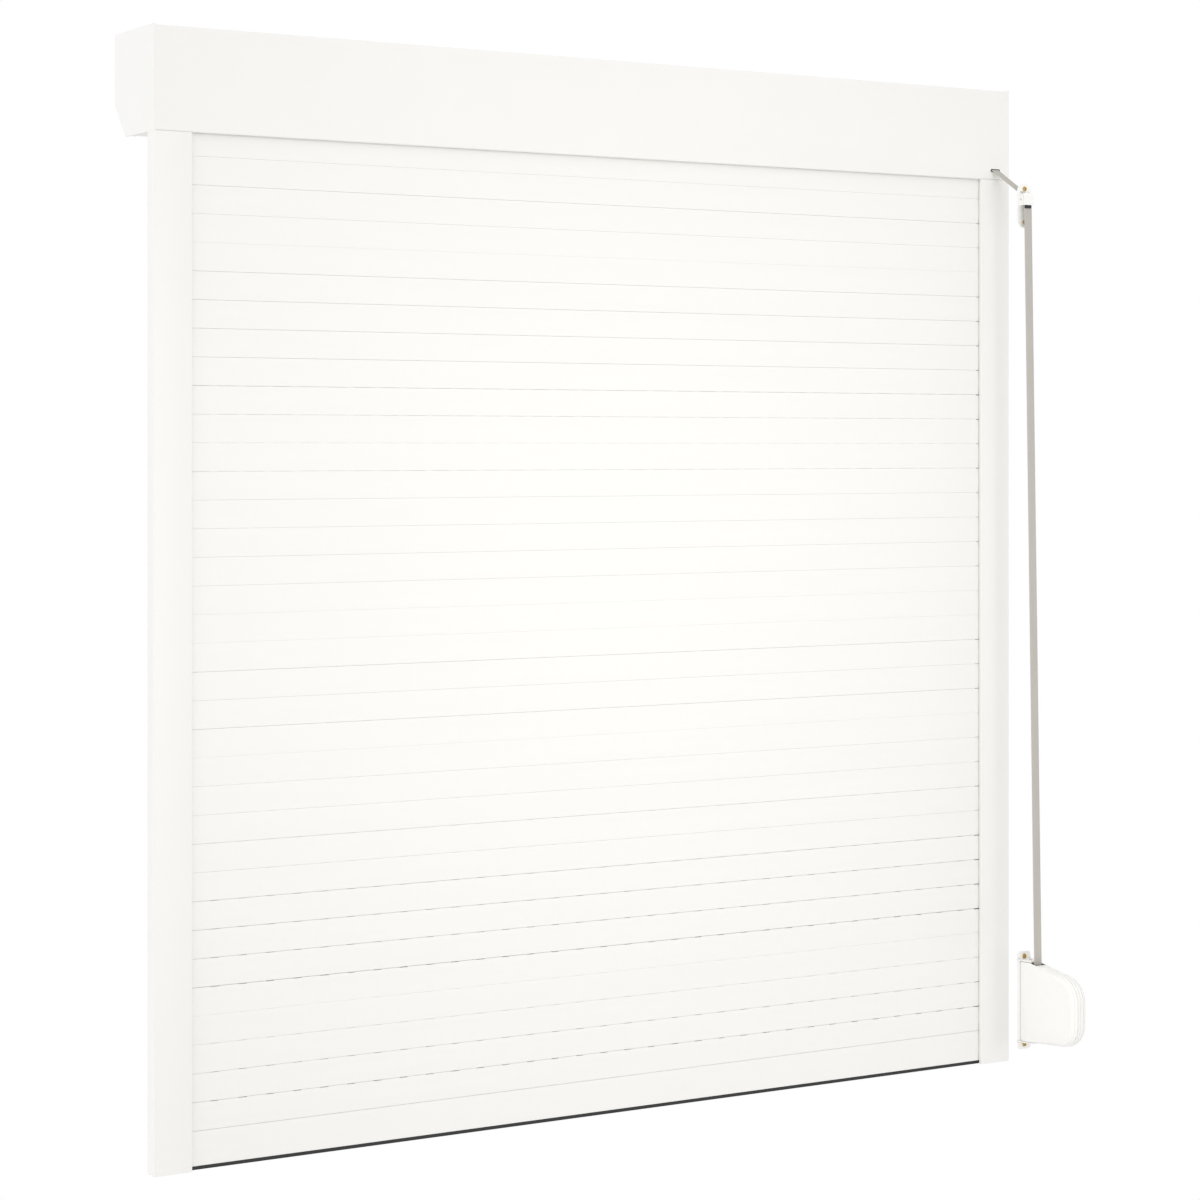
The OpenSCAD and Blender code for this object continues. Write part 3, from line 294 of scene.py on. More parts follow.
class Wire:
    """One value in a shader tree; arithmetic on it adds Math nodes."""

    def __init__(self, tree, socket=None):
        self.tree = tree
        self.socket = socket

    def node(self, kind, settings, sockets, out=0):
        """Adds a node: its settings are set first, then its sockets are linked or given a value."""
        node = self.tree.nodes.new(kind)
        for name, value in settings.items():
            setattr(node, name, value)
        for key, value in sockets.items():
            if isinstance(value, Wire):
                self.tree.links.new(value.socket, node.inputs[key])
            else:
                node.inputs[key].default_value = value
        return Wire(self.tree, node.outputs[out])

    def math(self, operation, *values):
        return self.node("ShaderNodeMath", {"operation": operation}, dict(enumerate(values)))

    def __add__(self, other):
        return self.math("ADD", self, other)

    def __sub__(self, other):
        return self.math("SUBTRACT", self, other)

    def __mul__(self, other):
        return self.math("MULTIPLY", self, other)

    def __rsub__(self, other):
        return self.math("SUBTRACT", other, self)

    __radd__ = __add__
    __rmul__ = __mul__

    def sine(self):
        return self.math("SINE", self)

    def size(self):
        return self.math("ABSOLUTE", self)

    def mapped(self, low, high, to_low, to_high):
        """The value carried from one range to another, held at both ends."""
        return self.node("ShaderNodeMapRange", {"clamp": True}, {
            "Value": self, "From Min": low, "From Max": high, "To Min": to_low, "To Max": to_high})

    def spread(self, to_low, to_high):
        """A noise carried from its usual range to another."""
        return self.mapped(*NOISE_RANGE, to_low, to_high)

    def mixed(self, first, second):
        """Colour between two colours, by this value."""
        sockets = {"Factor": self, 6: (*first, 1.0), 7: (*second, 1.0)}
        return self.node("ShaderNodeMix", {"data_type": "RGBA"}, sockets, out=2)


class Finish:
    """A material with one principled shader, and the patterns that drive it."""

    def __init__(self, name):
        self.material = bpy.data.materials.new(name)
        self.material.use_nodes = True
        tree = self.material.node_tree
        tree.nodes.clear()
        self.wire = Wire(tree)
        self.shader = tree.nodes.new("ShaderNodeBsdfPrincipled")
        self.output = tree.nodes.new("ShaderNodeOutputMaterial")
        tree.links.new(self.shader.outputs[0], self.output.inputs["Surface"])

    def object_place(self, scale):
        """Object coordinates, scaled along each axis."""
        place = self.wire.node("ShaderNodeTexCoord", {}, {}, out="Object")
        return self.wire.node("ShaderNodeMapping", {}, {"Vector": place, "Scale": scale})

    def noise(self, scale, detail):
        """Cloudy noise whose lumps are one over the scale in size, along each axis."""
        sockets = {"Vector": self.object_place(scale), "Scale": 1.0, "Detail": detail}
        return self.wire.node("ShaderNodeTexNoise", {}, sockets)

    def cells(self, scale):
        """Flat cells of random brightness, for crystals and grains."""
        sockets = {"Vector": self.object_place(scale), "Scale": 1.0}
        colour = self.wire.node("ShaderNodeTexVoronoi", {"feature": "F1"}, sockets, out="Color")
        return self.wire.node("ShaderNodeSeparateColor", {}, {0: colour})

    def uv(self):
        """The two UV values of the surface, in metres."""
        place = self.wire.node("ShaderNodeTexCoord", {}, {}, out="UV")
        across = self.wire.node("ShaderNodeSeparateXYZ", {}, {0: place}, out="X")
        along = self.wire.node("ShaderNodeSeparateXYZ", {}, {0: place}, out="Y")
        return across, along

    def bump(self, height, strength, distance):
        """Normal bent by a height field."""
        sockets = {"Height": height, "Strength": strength, "Distance": distance}
        return self.wire.node("ShaderNodeBump", {}, sockets)

    def set(self, **values):
        """Sets the shader's sockets, by name with _ for a space; a wire is linked."""
        for key, value in values.items():
            socket = self.shader.inputs[key.replace("_", " ")]
            if isinstance(value, Wire):
                self.wire.tree.links.new(value.socket, socket)
            else:
                socket.default_value = value
        return self.material


def shade(colour, factor):
    """A colour made lighter or darker."""
    return tuple(min(1.0, part * factor) for part in colour)


WHITE = (0.917, 0.904, 0.868)
PLASTIC_WHITE = (0.955, 0.945, 0.910)


def powder_coat():
    """Warm white powder coat: orange-peel bump of about a millimetre and faint clouds in tone and gloss."""
    finish = Finish("white_aluminium")
    clouds = finish.noise((9, 9, 9), detail=2)
    peel = finish.noise((850, 850, 850), detail=2)
    return finish.set(
        Base_Color=clouds.mixed(shade(WHITE, 0.99), shade(WHITE, 1.01)),
        Roughness=clouds.spread(0.38, 0.46),
        Normal=finish.bump(peel, 0.06, 0.0004))


def extruded_pvc():
    """Warm white PVC with the fine lines that a die leaves along the slat."""
    finish = Finish("white_pvc")
    lines = finish.noise((1.5, 900, 900), detail=3)
    clouds = finish.noise((4, 60, 60), detail=2)
    return finish.set(
        Base_Color=clouds.mixed(shade(WHITE, 0.988), shade(WHITE, 1.01)),
        Roughness=lines.spread(0.42, 0.52),
        Normal=finish.bump(lines, 0.05, 0.0003))


def moulded_white():
    """White moulded plastic with a fine spark-eroded grain."""
    finish = Finish("white_plastic")
    grain = finish.noise((1600, 1600, 1600), detail=2)
    clouds = finish.noise((40, 40, 40), detail=2)
    return finish.set(
        Base_Color=clouds.mixed(shade(PLASTIC_WHITE, 0.985), shade(PLASTIC_WHITE, 1.01)),
        Roughness=clouds.spread(0.30, 0.40),
        Normal=finish.bump(grain, 0.08, 0.0002))


def moulded_grey():
    """Dark grey moulded plastic with a fine grain."""
    finish = Finish("grey_plastic")
    grain = finish.noise((1400, 1400, 1400), detail=2)
    clouds = finish.noise((60, 60, 60), detail=2)
    grey = (0.095, 0.098, 0.102)
    return finish.set(
        Base_Color=clouds.mixed(shade(grey, 0.85), shade(grey, 1.15)),
        Roughness=clouds.spread(0.42, 0.55),
        Normal=finish.bump(grain, 0.12, 0.0002))


def zinc_steel():
    """Zinc-plated steel with crystal spangle in tone and gloss."""
    finish = Finish("steel")
    spangle = finish.cells((220, 220, 220))
    scratches = finish.noise((30, 1200, 1200), detail=3)
    steel = (0.56, 0.57, 0.59)
    return finish.set(
        Base_Color=spangle.mixed(shade(steel, 0.85), shade(steel, 1.12)),
        Roughness=spangle * 0.12 + scratches * 0.1 + 0.24,
        Metallic=1.0,
        Normal=finish.bump(scratches, 0.05, 0.0002))


def yellow_brass():
    """Yellow passivated screw: warm metal with clouds in tone and gloss."""
    finish = Finish("brass")
    clouds = finish.noise((600, 600, 600), detail=3)
    dull = (0.42, 0.27, 0.07)
    bright = (0.62, 0.44, 0.15)
    return finish.set(
        Base_Color=clouds.mixed(dull, bright),
        Roughness=clouds.spread(0.25, 0.42),
        Metallic=1.0)


def black_rubber():
    """Black rubber with a dull bloom and a fine extruded grain."""
    finish = Finish("rubber")
    bloom = finish.noise((25, 120, 120), detail=4)
    grain = finish.noise((900, 900, 900), detail=2)
    black = (0.012, 0.012, 0.012)
    return finish.set(
        Base_Color=bloom.mixed(black, shade(black, 2)),
        Roughness=bloom.spread(0.5, 0.7),
        Normal=finish.bump(grain, 0.15, 0.0002))


def webbing():
    """Woven strap: warp cords along it, weft ribs across it, with fuzz and soil in its tone."""
    finish = Finish("strap_webbing")
    across, along = finish.uv()
    warp_pitch = 0.0008
    weft_pitch = 0.0011
    warp = (across * (math.pi / warp_pitch)).sine().size()
    weft = (along * (math.pi / weft_pitch) + across * (math.pi / warp_pitch) * 0.5).sine().size()
    weave = warp * 0.6 + weft * 0.4
    fuzz = finish.noise((2200, 2200, 2200), detail=2)
    soil = finish.noise((60, 60, 14), detail=3)
    tone = weave * 0.6 + fuzz * 0.2 + soil * 0.2
    soiled = (0.38, 0.36, 0.325)
    clean = (0.645, 0.615, 0.56)
    return finish.set(
        Base_Color=tone.mixed(soiled, clean),
        Roughness=0.85,
        Normal=finish.bump(weave, 0.5, 0.0004))


FINISHES = {
    "white_aluminium": powder_coat,
    "white_pvc": extruded_pvc,
    "white_plastic": moulded_white,
    "grey_plastic": moulded_grey,
    "steel": zinc_steel,
    "brass": yellow_brass,
    "rubber": black_rubber,
    "strap_webbing": webbing,
}


def finish_of(slot):
    """The material of a slot, made when it is first asked for."""
    found = bpy.data.materials.get("look_" + slot)
    if found is None:
        found = FINISHES[slot]()
        found.name = "look_" + slot
    return found


def length(name, description, default):
    """A size or place in millimetres."""
    return FloatProperty(name=name, description=description + ", in mm", default=default)


def lengths(name, description, default):
    """Sizes or places in millimetres that belong together."""
    return FloatVectorProperty(
        name=name, description=description + ", in mm", size=len(default), default=default)


def point(name, description, default):
    """A point of the stage, in metres."""
    return FloatVectorProperty(name=name, description=description, subtype="TRANSLATION", default=default)


class CurtainSettings(bpy.types.PropertyGroup):
    """Sizes and places of the slats, their locks and the bottom bar"""

    pitch: length("Slat pitch", "Height from slat to slat", 37.0)
    gap: length("Joint", "Joint that beads and locks allow for", 0.4)
    half: length("Half thickness", "Half of a slat's thickness", 3.8)
    crown: length("Crown", "Bulge of a slat's faces", 0.4)
    edge: length("Edge radius", "Radius of a slat's long edges", 0.14)
    reach: length("Half width", "Half of the slats' length", edge_of("slats", HIGH, X))
    middle: length("Middle", "Depth of the curtain's middle", middle_of("slats", Y))
    bottom: length("First slat", "Height of the lowest slat's edge", edge_of("slats", LOW, Z))
    count: IntProperty(name="Slats", description="Number of slats", default=36)
    slit: length("Slit length", "Length of a light slit", 12.0)
    slit_pitch: length("Slit pitch", "From slit to slit", 39.2)
    slits: IntProperty(name="Slits", description="Light slits in a slat's neck", default=32)
    notch: FloatProperty(
        name="Notch", description="Depth of a slit's notch for each mm that its joint is open", default=2.2)
    notched: IntProperty(
        name="Notched slats", description="Slat from the foot where the notches end", default=13)
    corner: length("Open corner", "Where a slat's open right corner starts", 633.0)
    corner_slide: length("Corner slide", "Later start at the topmost slat", 6.0)
    corner_cut: FloatProperty(
        name="Corner cut", description="Cut of a corner for each mm that its joint is open", default=3.0)
    corner_least: length("Least joint", "Joint up to which no corner is cut", 0.03)
    bar_height: length("Bar height", "Height of the bottom bar", 45.0)
    bar_bottom: length("Bar foot", "Height of the bar's underside", edge_of("bottom_bar", LOW, Z))
    bar_edge: length("Bar edge", "Radius of the bar's long edges", 0.9)
    rolled: FloatProperty(
        name="Rolled share", description="Share of the curtain's height left when up", default=0.08,
        subtype="FACTOR")


class StrapSettings(bpy.types.PropertyGroup):
    """Route and turns of the strap, and the black strip under its guide's hood that paints the shade there"""

    place: length("Place", "Strap's middle along the shaft", AT_JOINT["guide_roller_spin"][X])
    width: length("Width", "Width of the strap", 14.0)
    thickness: length("Thickness", "Thickness of the strap", 1.2)
    turn: length("Turn pitch", "From turn to turn of wound strap", 1.6)
    shaft: lengths("Shaft", "Shaft axis (y, z)", AT_JOINT["shaft_spin"][Y:])
    core: length("Pulley core", "Radius of the first turn", 36.0)
    turns: FloatProperty(name="Pulley turns", description="Turns on the pulley", default=5.5)
    outlet: lengths("Outlet", "Strap in the outlet (y, z)", (0.6, -53.9))
    roller: lengths("Roller", "Roller axis (y, z)", AT_JOINT["guide_roller_spin"][Y:])
    roller_radius: length("Roller radius", "Radius of the guide roller", 4.5)
    reel: lengths("Reel", "Reel axis (y, z)", AT_JOINT["reel_spin"][Y:])
    reel_core: length("Reel core", "Radius of the reel's first turn", 17.0)
    reel_turns: FloatProperty(name="Reel turns", description="Turns on the reel", default=2.5)
    slack: length("Seat", "Room between strap and what it runs on", 0.3)
    # The guide lip is a black strip that paints the shade under the hood; its offset puts it off the strap's
    # middle where that shade falls.
    lip: lengths("Guide lip", "Half width, depth and height of the lip", (6.2, 0.9, 4.6))
    shade_strip_off: length("Lip offset", "How far left of the strap's middle it sits", 1.2)
    shade_strip_top: length("Lip top", "Height of the hood's lower edge", edge_of("guide_hood", LOW, Z))


class WinderSettings(bpy.types.PropertyGroup):
    """Sizes and places of the winder's case and bracket"""

    middle: length("Middle", "Height of the winder's middle", AT_JOINT["winder_swivel"][Z])
    back: length("Back", "Depth of the case's back", edge_of("winder_case_left", HIGH, Y))
    front: length("Front", "Depth of the case's front", edge_of("winder_case_left", LOW, Y))
    low: length("Low", "Case's lower edge from its middle", -58.5)
    high: length("High", "Case's upper edge from its middle", 60.0)
    drop: length("Drop", "Fall of the top line to the front", 14.5)
    rise: length("Rise", "Rise of the lower line to the front", 8.0)
    upper: length("Upper radius", "Radius of the upper front corner", 36.0)
    lower: length("Lower radius", "Radius of the lower front corner", 36.0)
    half: length("Half thickness", "Half of the case's thickness", 13.0)
    soft: length("Side radius", "Radius of the case's side edges", 8.5)
    mouth: lengths("Mouth", "Mouth's half sizes (x, y)", (9.1, 6.8))
    mouth_y: length("Mouth place", "Depth of the mouth's middle", -101.9)
    sharp: lengths(
        "Sharp back", "From the back, where side edges start to round off and are round", (15.0, 100.0))
    wall: length("Wall", "Depth of the wall that the bracket sits on", edge_of("winder_bracket", HIGH, Y))
    plate: lengths("Plate", "Bracket's half width, half height and thickness", (12.0, 73.0, 2.0))
    ear: lengths("Ears", "Reach, thickness and gap of the ears", (30.0, 2.0, 0.3))
    fold: lengths("Fold", "Ridge of a folded edge (x, y)", (9.5, -72.2))
    pivot: length("Pivot", "Depth of the swivel's axis", AT_JOINT["winder_swivel"][Y])
    swing: length("Swing", "Radius that the back edges stay within", 14.8)
    level: length("Level", "Length of the level part under the ears", 20.0)


class StageSettings(bpy.types.PropertyGroup):
    """Camera, light and floor"""

    eye: point("Camera", "Place of the camera", (-2.1391, -3.5123, -0.4745))
    turn: FloatProperty(
        name="Turn", description="Camera's turn about Z", subtype="ANGLE", default=math.radians(-30.98))
    lens: FloatProperty(name="Lens", description="Focal length", unit="CAMERA", default=88.19)
    shift: FloatProperty(name="Shift", description="Camera's vertical shift", default=-0.1269)
    floor: FloatProperty(name="Floor", description="Height of the floor", unit="LENGTH", default=-2.3)
    sky: FloatProperty(name="Sky", description="Strength of the even light from all round", default=0.985)
    lean: FloatProperty(name="Lean", description="How much more light comes from the left", default=0.30)
    cool: FloatVectorProperty(
        name="Left light", description="Colour of the light from the left", size=3, subtype="COLOR",
        default=(0.985, 1.0, 1.035))
    lamp: FloatProperty(
        name="Lamp", description="Power of the soft lamp in front", unit="POWER", default=92.0)
    lamp_place: point("Lamp place", "Place of the lamp", (0.03, -3.2, -0.60))
    pool: FloatProperty(
        name="Pool", description="Radius of the lamp's pool of light", unit="LENGTH", default=1.3)
    side: FloatProperty(
        name="Side lamp", description="Power of the lamp beside the winder", unit="POWER", default=18.0)
    side_place: point("Side place", "Place of the side lamp", (-2.0, -1.2, -1.3))
    side_aim: point("Side aim", "Where the side lamp points", (0.655, -0.13, -1.3))
    side_pool: FloatProperty(
        name="Side pool", description="Radius of the side lamp's pool", unit="LENGTH", default=0.16)


FACE_STEPS = 12
EDGE_STEPS = 4


def slat_outline(height, half, crown, edge, groove):
    """Section of a slat, counter-clockwise from the groove.

    A face stands off the middle by half the thickness plus four times the crown times s(1 - s), where s
    runs up the face; each long edge is a quarter circle, and the groove opens the underside.
    """
    s = np.linspace(0, 1, FACE_STEPS + 1)[1:-1]
    rise = edge + (height - 2 * edge) * s
    bow = half + 4 * crown * s * (1 - s)
    quarter = math.pi / 2
    right = np.stack([bow, rise], axis=1)
    left = right[::-1] * (-1, 1)
    return np.concatenate([
        groove,
        arc((half - edge, edge), edge, -quarter, 0, EDGE_STEPS),
        right,
        arc((half - edge, height - edge), edge, 0, quarter, EDGE_STEPS),
        arc((edge - half, height - edge), edge, quarter, 2 * quarter, EDGE_STEPS),
        left,
        arc((edge - half, edge), edge, 2 * quarter, 3 * quarter, EDGE_STEPS),
    ])


def groove_outline(slot, width, lip, depth):
    """Hook groove in the underside, from its left lip to its right lip."""
    left = np.array([[-slot / 2, 0], [-slot / 2, lip], [-width / 2, lip], [-width / 2, depth]])
    return np.concatenate([left, left[::-1] * (-1, 1)])


# Hook joint between two slats, in mm
BEAD_HALF = 1.7
BEAD_FOOT = 1.6
BEAD_HEIGHT = 2.2
BEAD_FOOT_EDGE = 0.3
BEAD_HEAD_EDGE = 0.7
BEAD_STEPS = 3
NECK_HALF = 0.7
LEDGE = 0.1
SILL = 0.05
SLAT_GROOVE = groove_outline(slot=2.4, width=4.4, lip=1.0, depth=6.8)
BAR_GROOVE = groove_outline(slot=2.6, width=4.4, lip=1.2, depth=3.8)

# Lock at a slat's end, in mm: a head outside, a tongue inside and a finger in the open corner
HEAD_HALF = 3.2
HEAD_INSET = 2.0
HEAD_EDGE = 0.8
HEAD_DEPTH = 1.5
HEAD_STEPS = 4
TONGUE_HALF = 2.85
TONGUE_LOW = 22.0
TONGUE_HIGH = 35.4
TONGUE_EDGE = 0.3
TONGUE_REACH = 18.0
TONGUE_ROOT = 0.5
FINGER_HALF = 2.9
FINGER_LOW = 30.0
FINGER_EDGE = 0.2
FINGER_PLAY = 0.1
LOCK_STEPS = 2

# How far the joints stand open, in mm, and in which rows, counted from the foot
USUAL_JOINT = 0.13
JOINT_ROWS = {
    0.06: (3, 12, 16, 17, 30),
    0.22: (1, 9, 13, 15, 22, 24, 26, 27, 28, 29, 32),
    0.31: (0, 5, 6, 7, 25),
    0.43: (4,),
}


def joint_of(row):
    """How far the joint above a row of slats stands open, in mm."""
    for opening, rows in JOINT_ROWS.items():
        if row in rows:
            return opening
    return USUAL_JOINT


def webs(low_x, high_x, middle, half, low_z, high_z):
    """Blocks side by side along X, each as a tube of two rings: a corner plus shares of its sizes."""
    side = np.ones_like(low_x)
    low = np.stack([low_x, side * (middle - half), side * low_z], axis=1)
    high = np.stack([high_x, side * (middle + half), side * high_z], axis=1)
    ring = np.array([[0, 0], [1, 0], [1, 1], [0, 1]])
    share = np.stack([np.concatenate([np.full((4, 1), end), ring], axis=1) for end in (0, 1)])
    return low[:, None, None] + (high - low)[:, None, None] * share


def bead_outline(height):
    """Bead on top of a slat or bar, with rounded edges."""
    foot = height + BEAD_FOOT
    return upright(BEAD_HALF, foot, foot + BEAD_HEIGHT, BEAD_FOOT_EDGE, BEAD_HEAD_EDGE, BEAD_STEPS)


def stick(surface, outline, ends, place):
    """Adds a (y, z) outline carried along X between two ends and moved to its place, in mm."""
    surface.tube((along_x(outline, ends) + place) * MM)


class SHUTTER_OT_curtain(bpy.types.Operator):
    """Builds the slats with their light slits, the slat locks and the bottom bar"""

    bl_idname = "shutter.curtain"
    bl_label = "Build curtain"

    def execute(self, context):
        s = context.scene.shutter_curtain
        slats = Surface()
        locks = Surface()
        for row in range(s.count):
            self.slat(s, row, slats, locks)
        for surface, name, slot in ((slats, "slats", "white_pvc"), (locks, "slat_locks", "grey_plastic")):
            obj = surface.build("curtain_" + name, finish_of(slot), slot)
            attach(obj, "curtain")
            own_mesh(obj)
            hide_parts(name)
        self.bar(s)
        return {"FINISHED"}

    def slat(self, s, row, slats, locks):
        """One slat with an open corner, its bead on webs between the light slits, and its locks."""
        lift = np.array([0.0, 0.0, s.bottom + row * s.pitch])
        place = lift + (0.0, s.middle, 0.0)
        joint = joint_of(row)
        top = s.pitch - s.gap
        shoulder = s.pitch - joint
        foot = shoulder - joint * s.notch * max(0.0, 1 - row / s.notched)
        corner = min(foot, shoulder - max(0.0, s.corner_cut * (joint - s.corner_least)))
        start = s.corner + s.corner_slide * row / s.count
        for height, ends in ((foot, (-s.reach, start)), (corner, (start, s.reach))):
            stick(slats, slat_outline(height, s.half, s.crown, s.edge, SLAT_GROOVE), ends, place)
        stick(slats, bead_outline(top), (-s.reach, s.reach), place)
        neck_top = top + BEAD_FOOT + LEDGE
        necks = webs(*self.between_slits(s, s.corner), s.middle, NECK_HALF, top - LEDGE, neck_top)
        sills = webs(*self.between_slits(s, start), s.middle, s.half - SILL, foot - LEDGE, shoulder)
        for web in (*necks, *sills):
            slats.tube((web + lift) * MM)

        finger = upright(FINGER_HALF, FINGER_LOW, top, FINGER_EDGE, FINGER_EDGE, LOCK_STEPS)
        head = upright(HEAD_HALF, HEAD_INSET, top - HEAD_INSET, HEAD_EDGE, HEAD_EDGE, HEAD_STEPS)
        tongue = upright(TONGUE_HALF, TONGUE_LOW, TONGUE_HIGH, TONGUE_EDGE, TONGUE_EDGE, LOCK_STEPS)
        stick(locks, finger, (start + FINGER_PLAY, s.reach - FINGER_PLAY), place)
        for side in (-1, 1):
            end = side * s.reach
            stick(locks, head, (end, end + side * HEAD_DEPTH), place)
            stick(locks, tongue, (end - side * TONGUE_REACH, end + side * TONGUE_ROOT), place)

    def between_slits(self, s, end):
        """Both ends of each stretch beside the light slits, from the slat's left end to the given end."""
        slit = (np.arange(s.slits) - (s.slits - 1) / 2) * s.slit_pitch
        low = np.concatenate([[-s.reach], slit + s.slit / 2])
        high = np.concatenate([slit - s.slit / 2, [end]])
        return low, high

    def bar(self, s):
        """The bottom bar, with its bead on a neck as long as the bar."""
        ends = (-s.reach, s.reach)
        place = np.array([0.0, s.middle, s.bar_bottom])
        top = s.bar_bottom + s.bar_height
        neck_top = top + BEAD_FOOT + LEDGE
        bar = Surface()
        stick(bar, slat_outline(s.bar_height, s.half, s.crown, s.bar_edge, BAR_GROOVE), ends, place)
        stick(bar, bead_outline(s.bar_height), ends, place)
        neck = webs(np.array([-s.reach]), np.array([s.reach]), s.middle, NECK_HALF, top - LEDGE, neck_top)
        bar.tube(neck[0] * MM)
        obj = bar.build("curtain_bar", finish_of("white_aluminium"), "white_aluminium")
        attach(obj, "curtain")
        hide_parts("bottom_bar")


# Points along the strap, and a height above the reel's touching point, in mm
STRAP_BEND = 3.0
BEND_STEPS = 6
WRAP_STEPS = 10
TURN_STEPS = 36
SHORT_STEP = 6.0
LONG_STEP = 12.0
TWIST_END = 52.0

# Black strip under the strap guide's hood, in mm: painted shade for the slot between the hood's lower edge and the
# strap
SHADE_STRIP_CORNER = 1.2
SHADE_STRIP_EDGE = 0.3
SHADE_STRIP_SUNK = 0.3
SHADE_STRIP_STEPS = 4


def coil(axis, core, turn, turns, end, way):
    """Spiral about an axis up to an end angle: its radius grows by a turn's pitch each time round."""
    steps = np.arange(round(turns * TURN_STEPS) + 1) / TURN_STEPS
    radius = core + turn * steps
    around = end - 2 * math.pi * (turns - steps)
    return axis + radius[:, None] * np.stack([np.cos(around), way * np.sin(around)], axis=1)


class SHUTTER_OT_strap(bpy.types.Operator):
    """Builds the strap from the pulley to the reel, the turns wound on both and a black strip under the guide's
    hood that paints the shade there
    """

    bl_idname = "shutter.strap"
    bl_label = "Build strap"

    def execute(self, context):
        s = context.scene.shutter_strap
        shaft = np.array(s.shaft)
        outlet = np.array(s.outlet)
        roller = np.array(s.roller)
        reel = np.array(s.reel)
        seat = s.thickness / 2 + s.slack
        pulley_r = s.core + s.turns * s.turn + s.thickness + seat
        reel_r = s.reel_core + s.reel_turns * s.turn + s.thickness + seat
        roller_r = s.roller_radius + seat
        start = touch(shaft, pulley_r, outlet, 1)
        roller_in = touch(roller, roller_r, outlet, 1)
        run = reel - roller
        lean = math.acos((roller_r + reel_r) / np.linalg.norm(run))
        leave = math.atan2(run[1], run[0]) - lean
        roller_out = roller + roller_r * np.array([math.cos(leave), math.sin(leave)])
        foot = reel - reel_r * np.array([math.cos(leave), math.sin(leave)])
        enter = math.atan2(*(roller_in - roller)[::-1])
        bend = fillet(start, outlet, roller_in, STRAP_BEND, BEND_STEPS)
        wrap = arc(roller, roller_r, enter, leave + 2 * math.pi, WRAP_STEPS)
        path = np.concatenate([
            spaced(np.stack([start, bend[0]]), SHORT_STEP)[:-1], bend,
            spaced(np.stack([bend[-1], wrap[0]]), SHORT_STEP)[1:-1], wrap,
            spaced(np.stack([roller_out, foot]), LONG_STEP)[1:]])
        obj = self.band(s, "strap_run", path)
        low = (s.place * MM, roller_out[0] * MM, (foot[1] + TWIST_END) * MM)
        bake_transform(obj)
        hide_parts("strap")
        # Painted shade: the guide's lip is a black strip that stands in for the shadow under the hood.
        self.lip(s, roller_out[0] - seat - s.thickness / 2)

        first = s.core + s.thickness / 2
        end = math.atan2(*(start - shaft)[::-1])
        obj = self.band(s, "strap_turns_pulley", coil(shaft, first, s.turn, s.turns, end, 1))
        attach(obj, "shaft")
        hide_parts("strap_on_pulley")

        first = s.reel_core + s.thickness / 2
        end = math.pi - leave
        obj = self.band(s, "strap_turns_reel", coil(reel, first, s.turn, s.reel_turns, end, -1))
        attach(obj, "reel")
        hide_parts("strap_on_reel")
        return {"FINISHED"}

    def band(self, s, name, path):
        """A stretch of strap along a path."""
        surface = Surface()
        ribbon(surface, path, s.place, s.width, s.thickness)
        return surface.build(name, finish_of("strap_webbing"), "strap_webbing")

    def lip(self, s, face):
        """Black rubber-finished strip that hangs from the guide's hood in front of the strap: painted shade for
        the slot under the hood.
        """
        half, depth, height = s.lip
        section = upright(half, -height, SHADE_STRIP_SUNK, SHADE_STRIP_CORNER, 0.0, SHADE_STRIP_STEPS)
        section += (s.place - s.shade_strip_off, s.shade_strip_top)
        lip = Surface()
        lip.tube(slab(section, face - depth, face, SHADE_STRIP_EDGE)[:, :, STANDING] * MM)
        obj = lip.build("guide_painted_shade", finish_of("rubber"), "rubber")
        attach(obj, "frame")


# Case of the winder, in mm; a groove is where it starts and ends from the parting, and its depth
PARTING = 0.2
PARTING_DEPTH = 1.6
RIM_GROOVES = ((4.7, 5.5, 1.2), (9.5, 9.9, 0.6))
LEAST_SOFT = 0.12
BACK_CORNER = 3.0
LEAST_CORNER = 0.4
CASE_STEPS = 14
SIDE_STEPS = 16
CORNERS_BEFORE_MOUTH = 4
MOUTH_POINT = CORNERS_BEFORE_MOUTH * (CASE_STEPS + 1)

# Bracket of the winder, in mm
PLATE_CORNER = 5.0
PLATE_EDGE = 0.5
PLATE_STEPS = 8
EAR_EDGE = 0.4
NOSE_STEPS = 24
FOLD_SUNK = 0.1
FOLD_WIDTH = 0.6
FOLD_RIDGE = 0.2
FOLD_EDGE = 0.1
FOLD_STEPS = 3


def case_outline(s, inset):
    """The case's D outline drawn in by an inset, with points at both edges of the mouth on its top line."""
    back = s.back - inset
    front = s.front + inset
    bend = s.back - s.level
    low = s.low + inset
    high = s.high - inset
    back_r = max(BACK_CORNER - inset, LEAST_CORNER)
    outline = rounded([
        (back, low, back_r),
        (bend, low, s.level / 2),
        (front, low + s.rise, s.lower - inset),
        (front, high - s.drop, s.upper - inset),
        (bend, high, s.level / 2),
        (back, high, back_r),
    ], CASE_STEPS)
    slope = s.drop / (bend - front)
    edges = np.array([s.mouth_y - s.mouth[1], s.mouth_y + s.mouth[1]])
    on_top = np.stack([edges, high + slope * (edges - bend)], axis=1)
    return np.concatenate([outline[:MOUTH_POINT], on_top, outline[MOUTH_POINT:]]) + (0.0, s.middle)


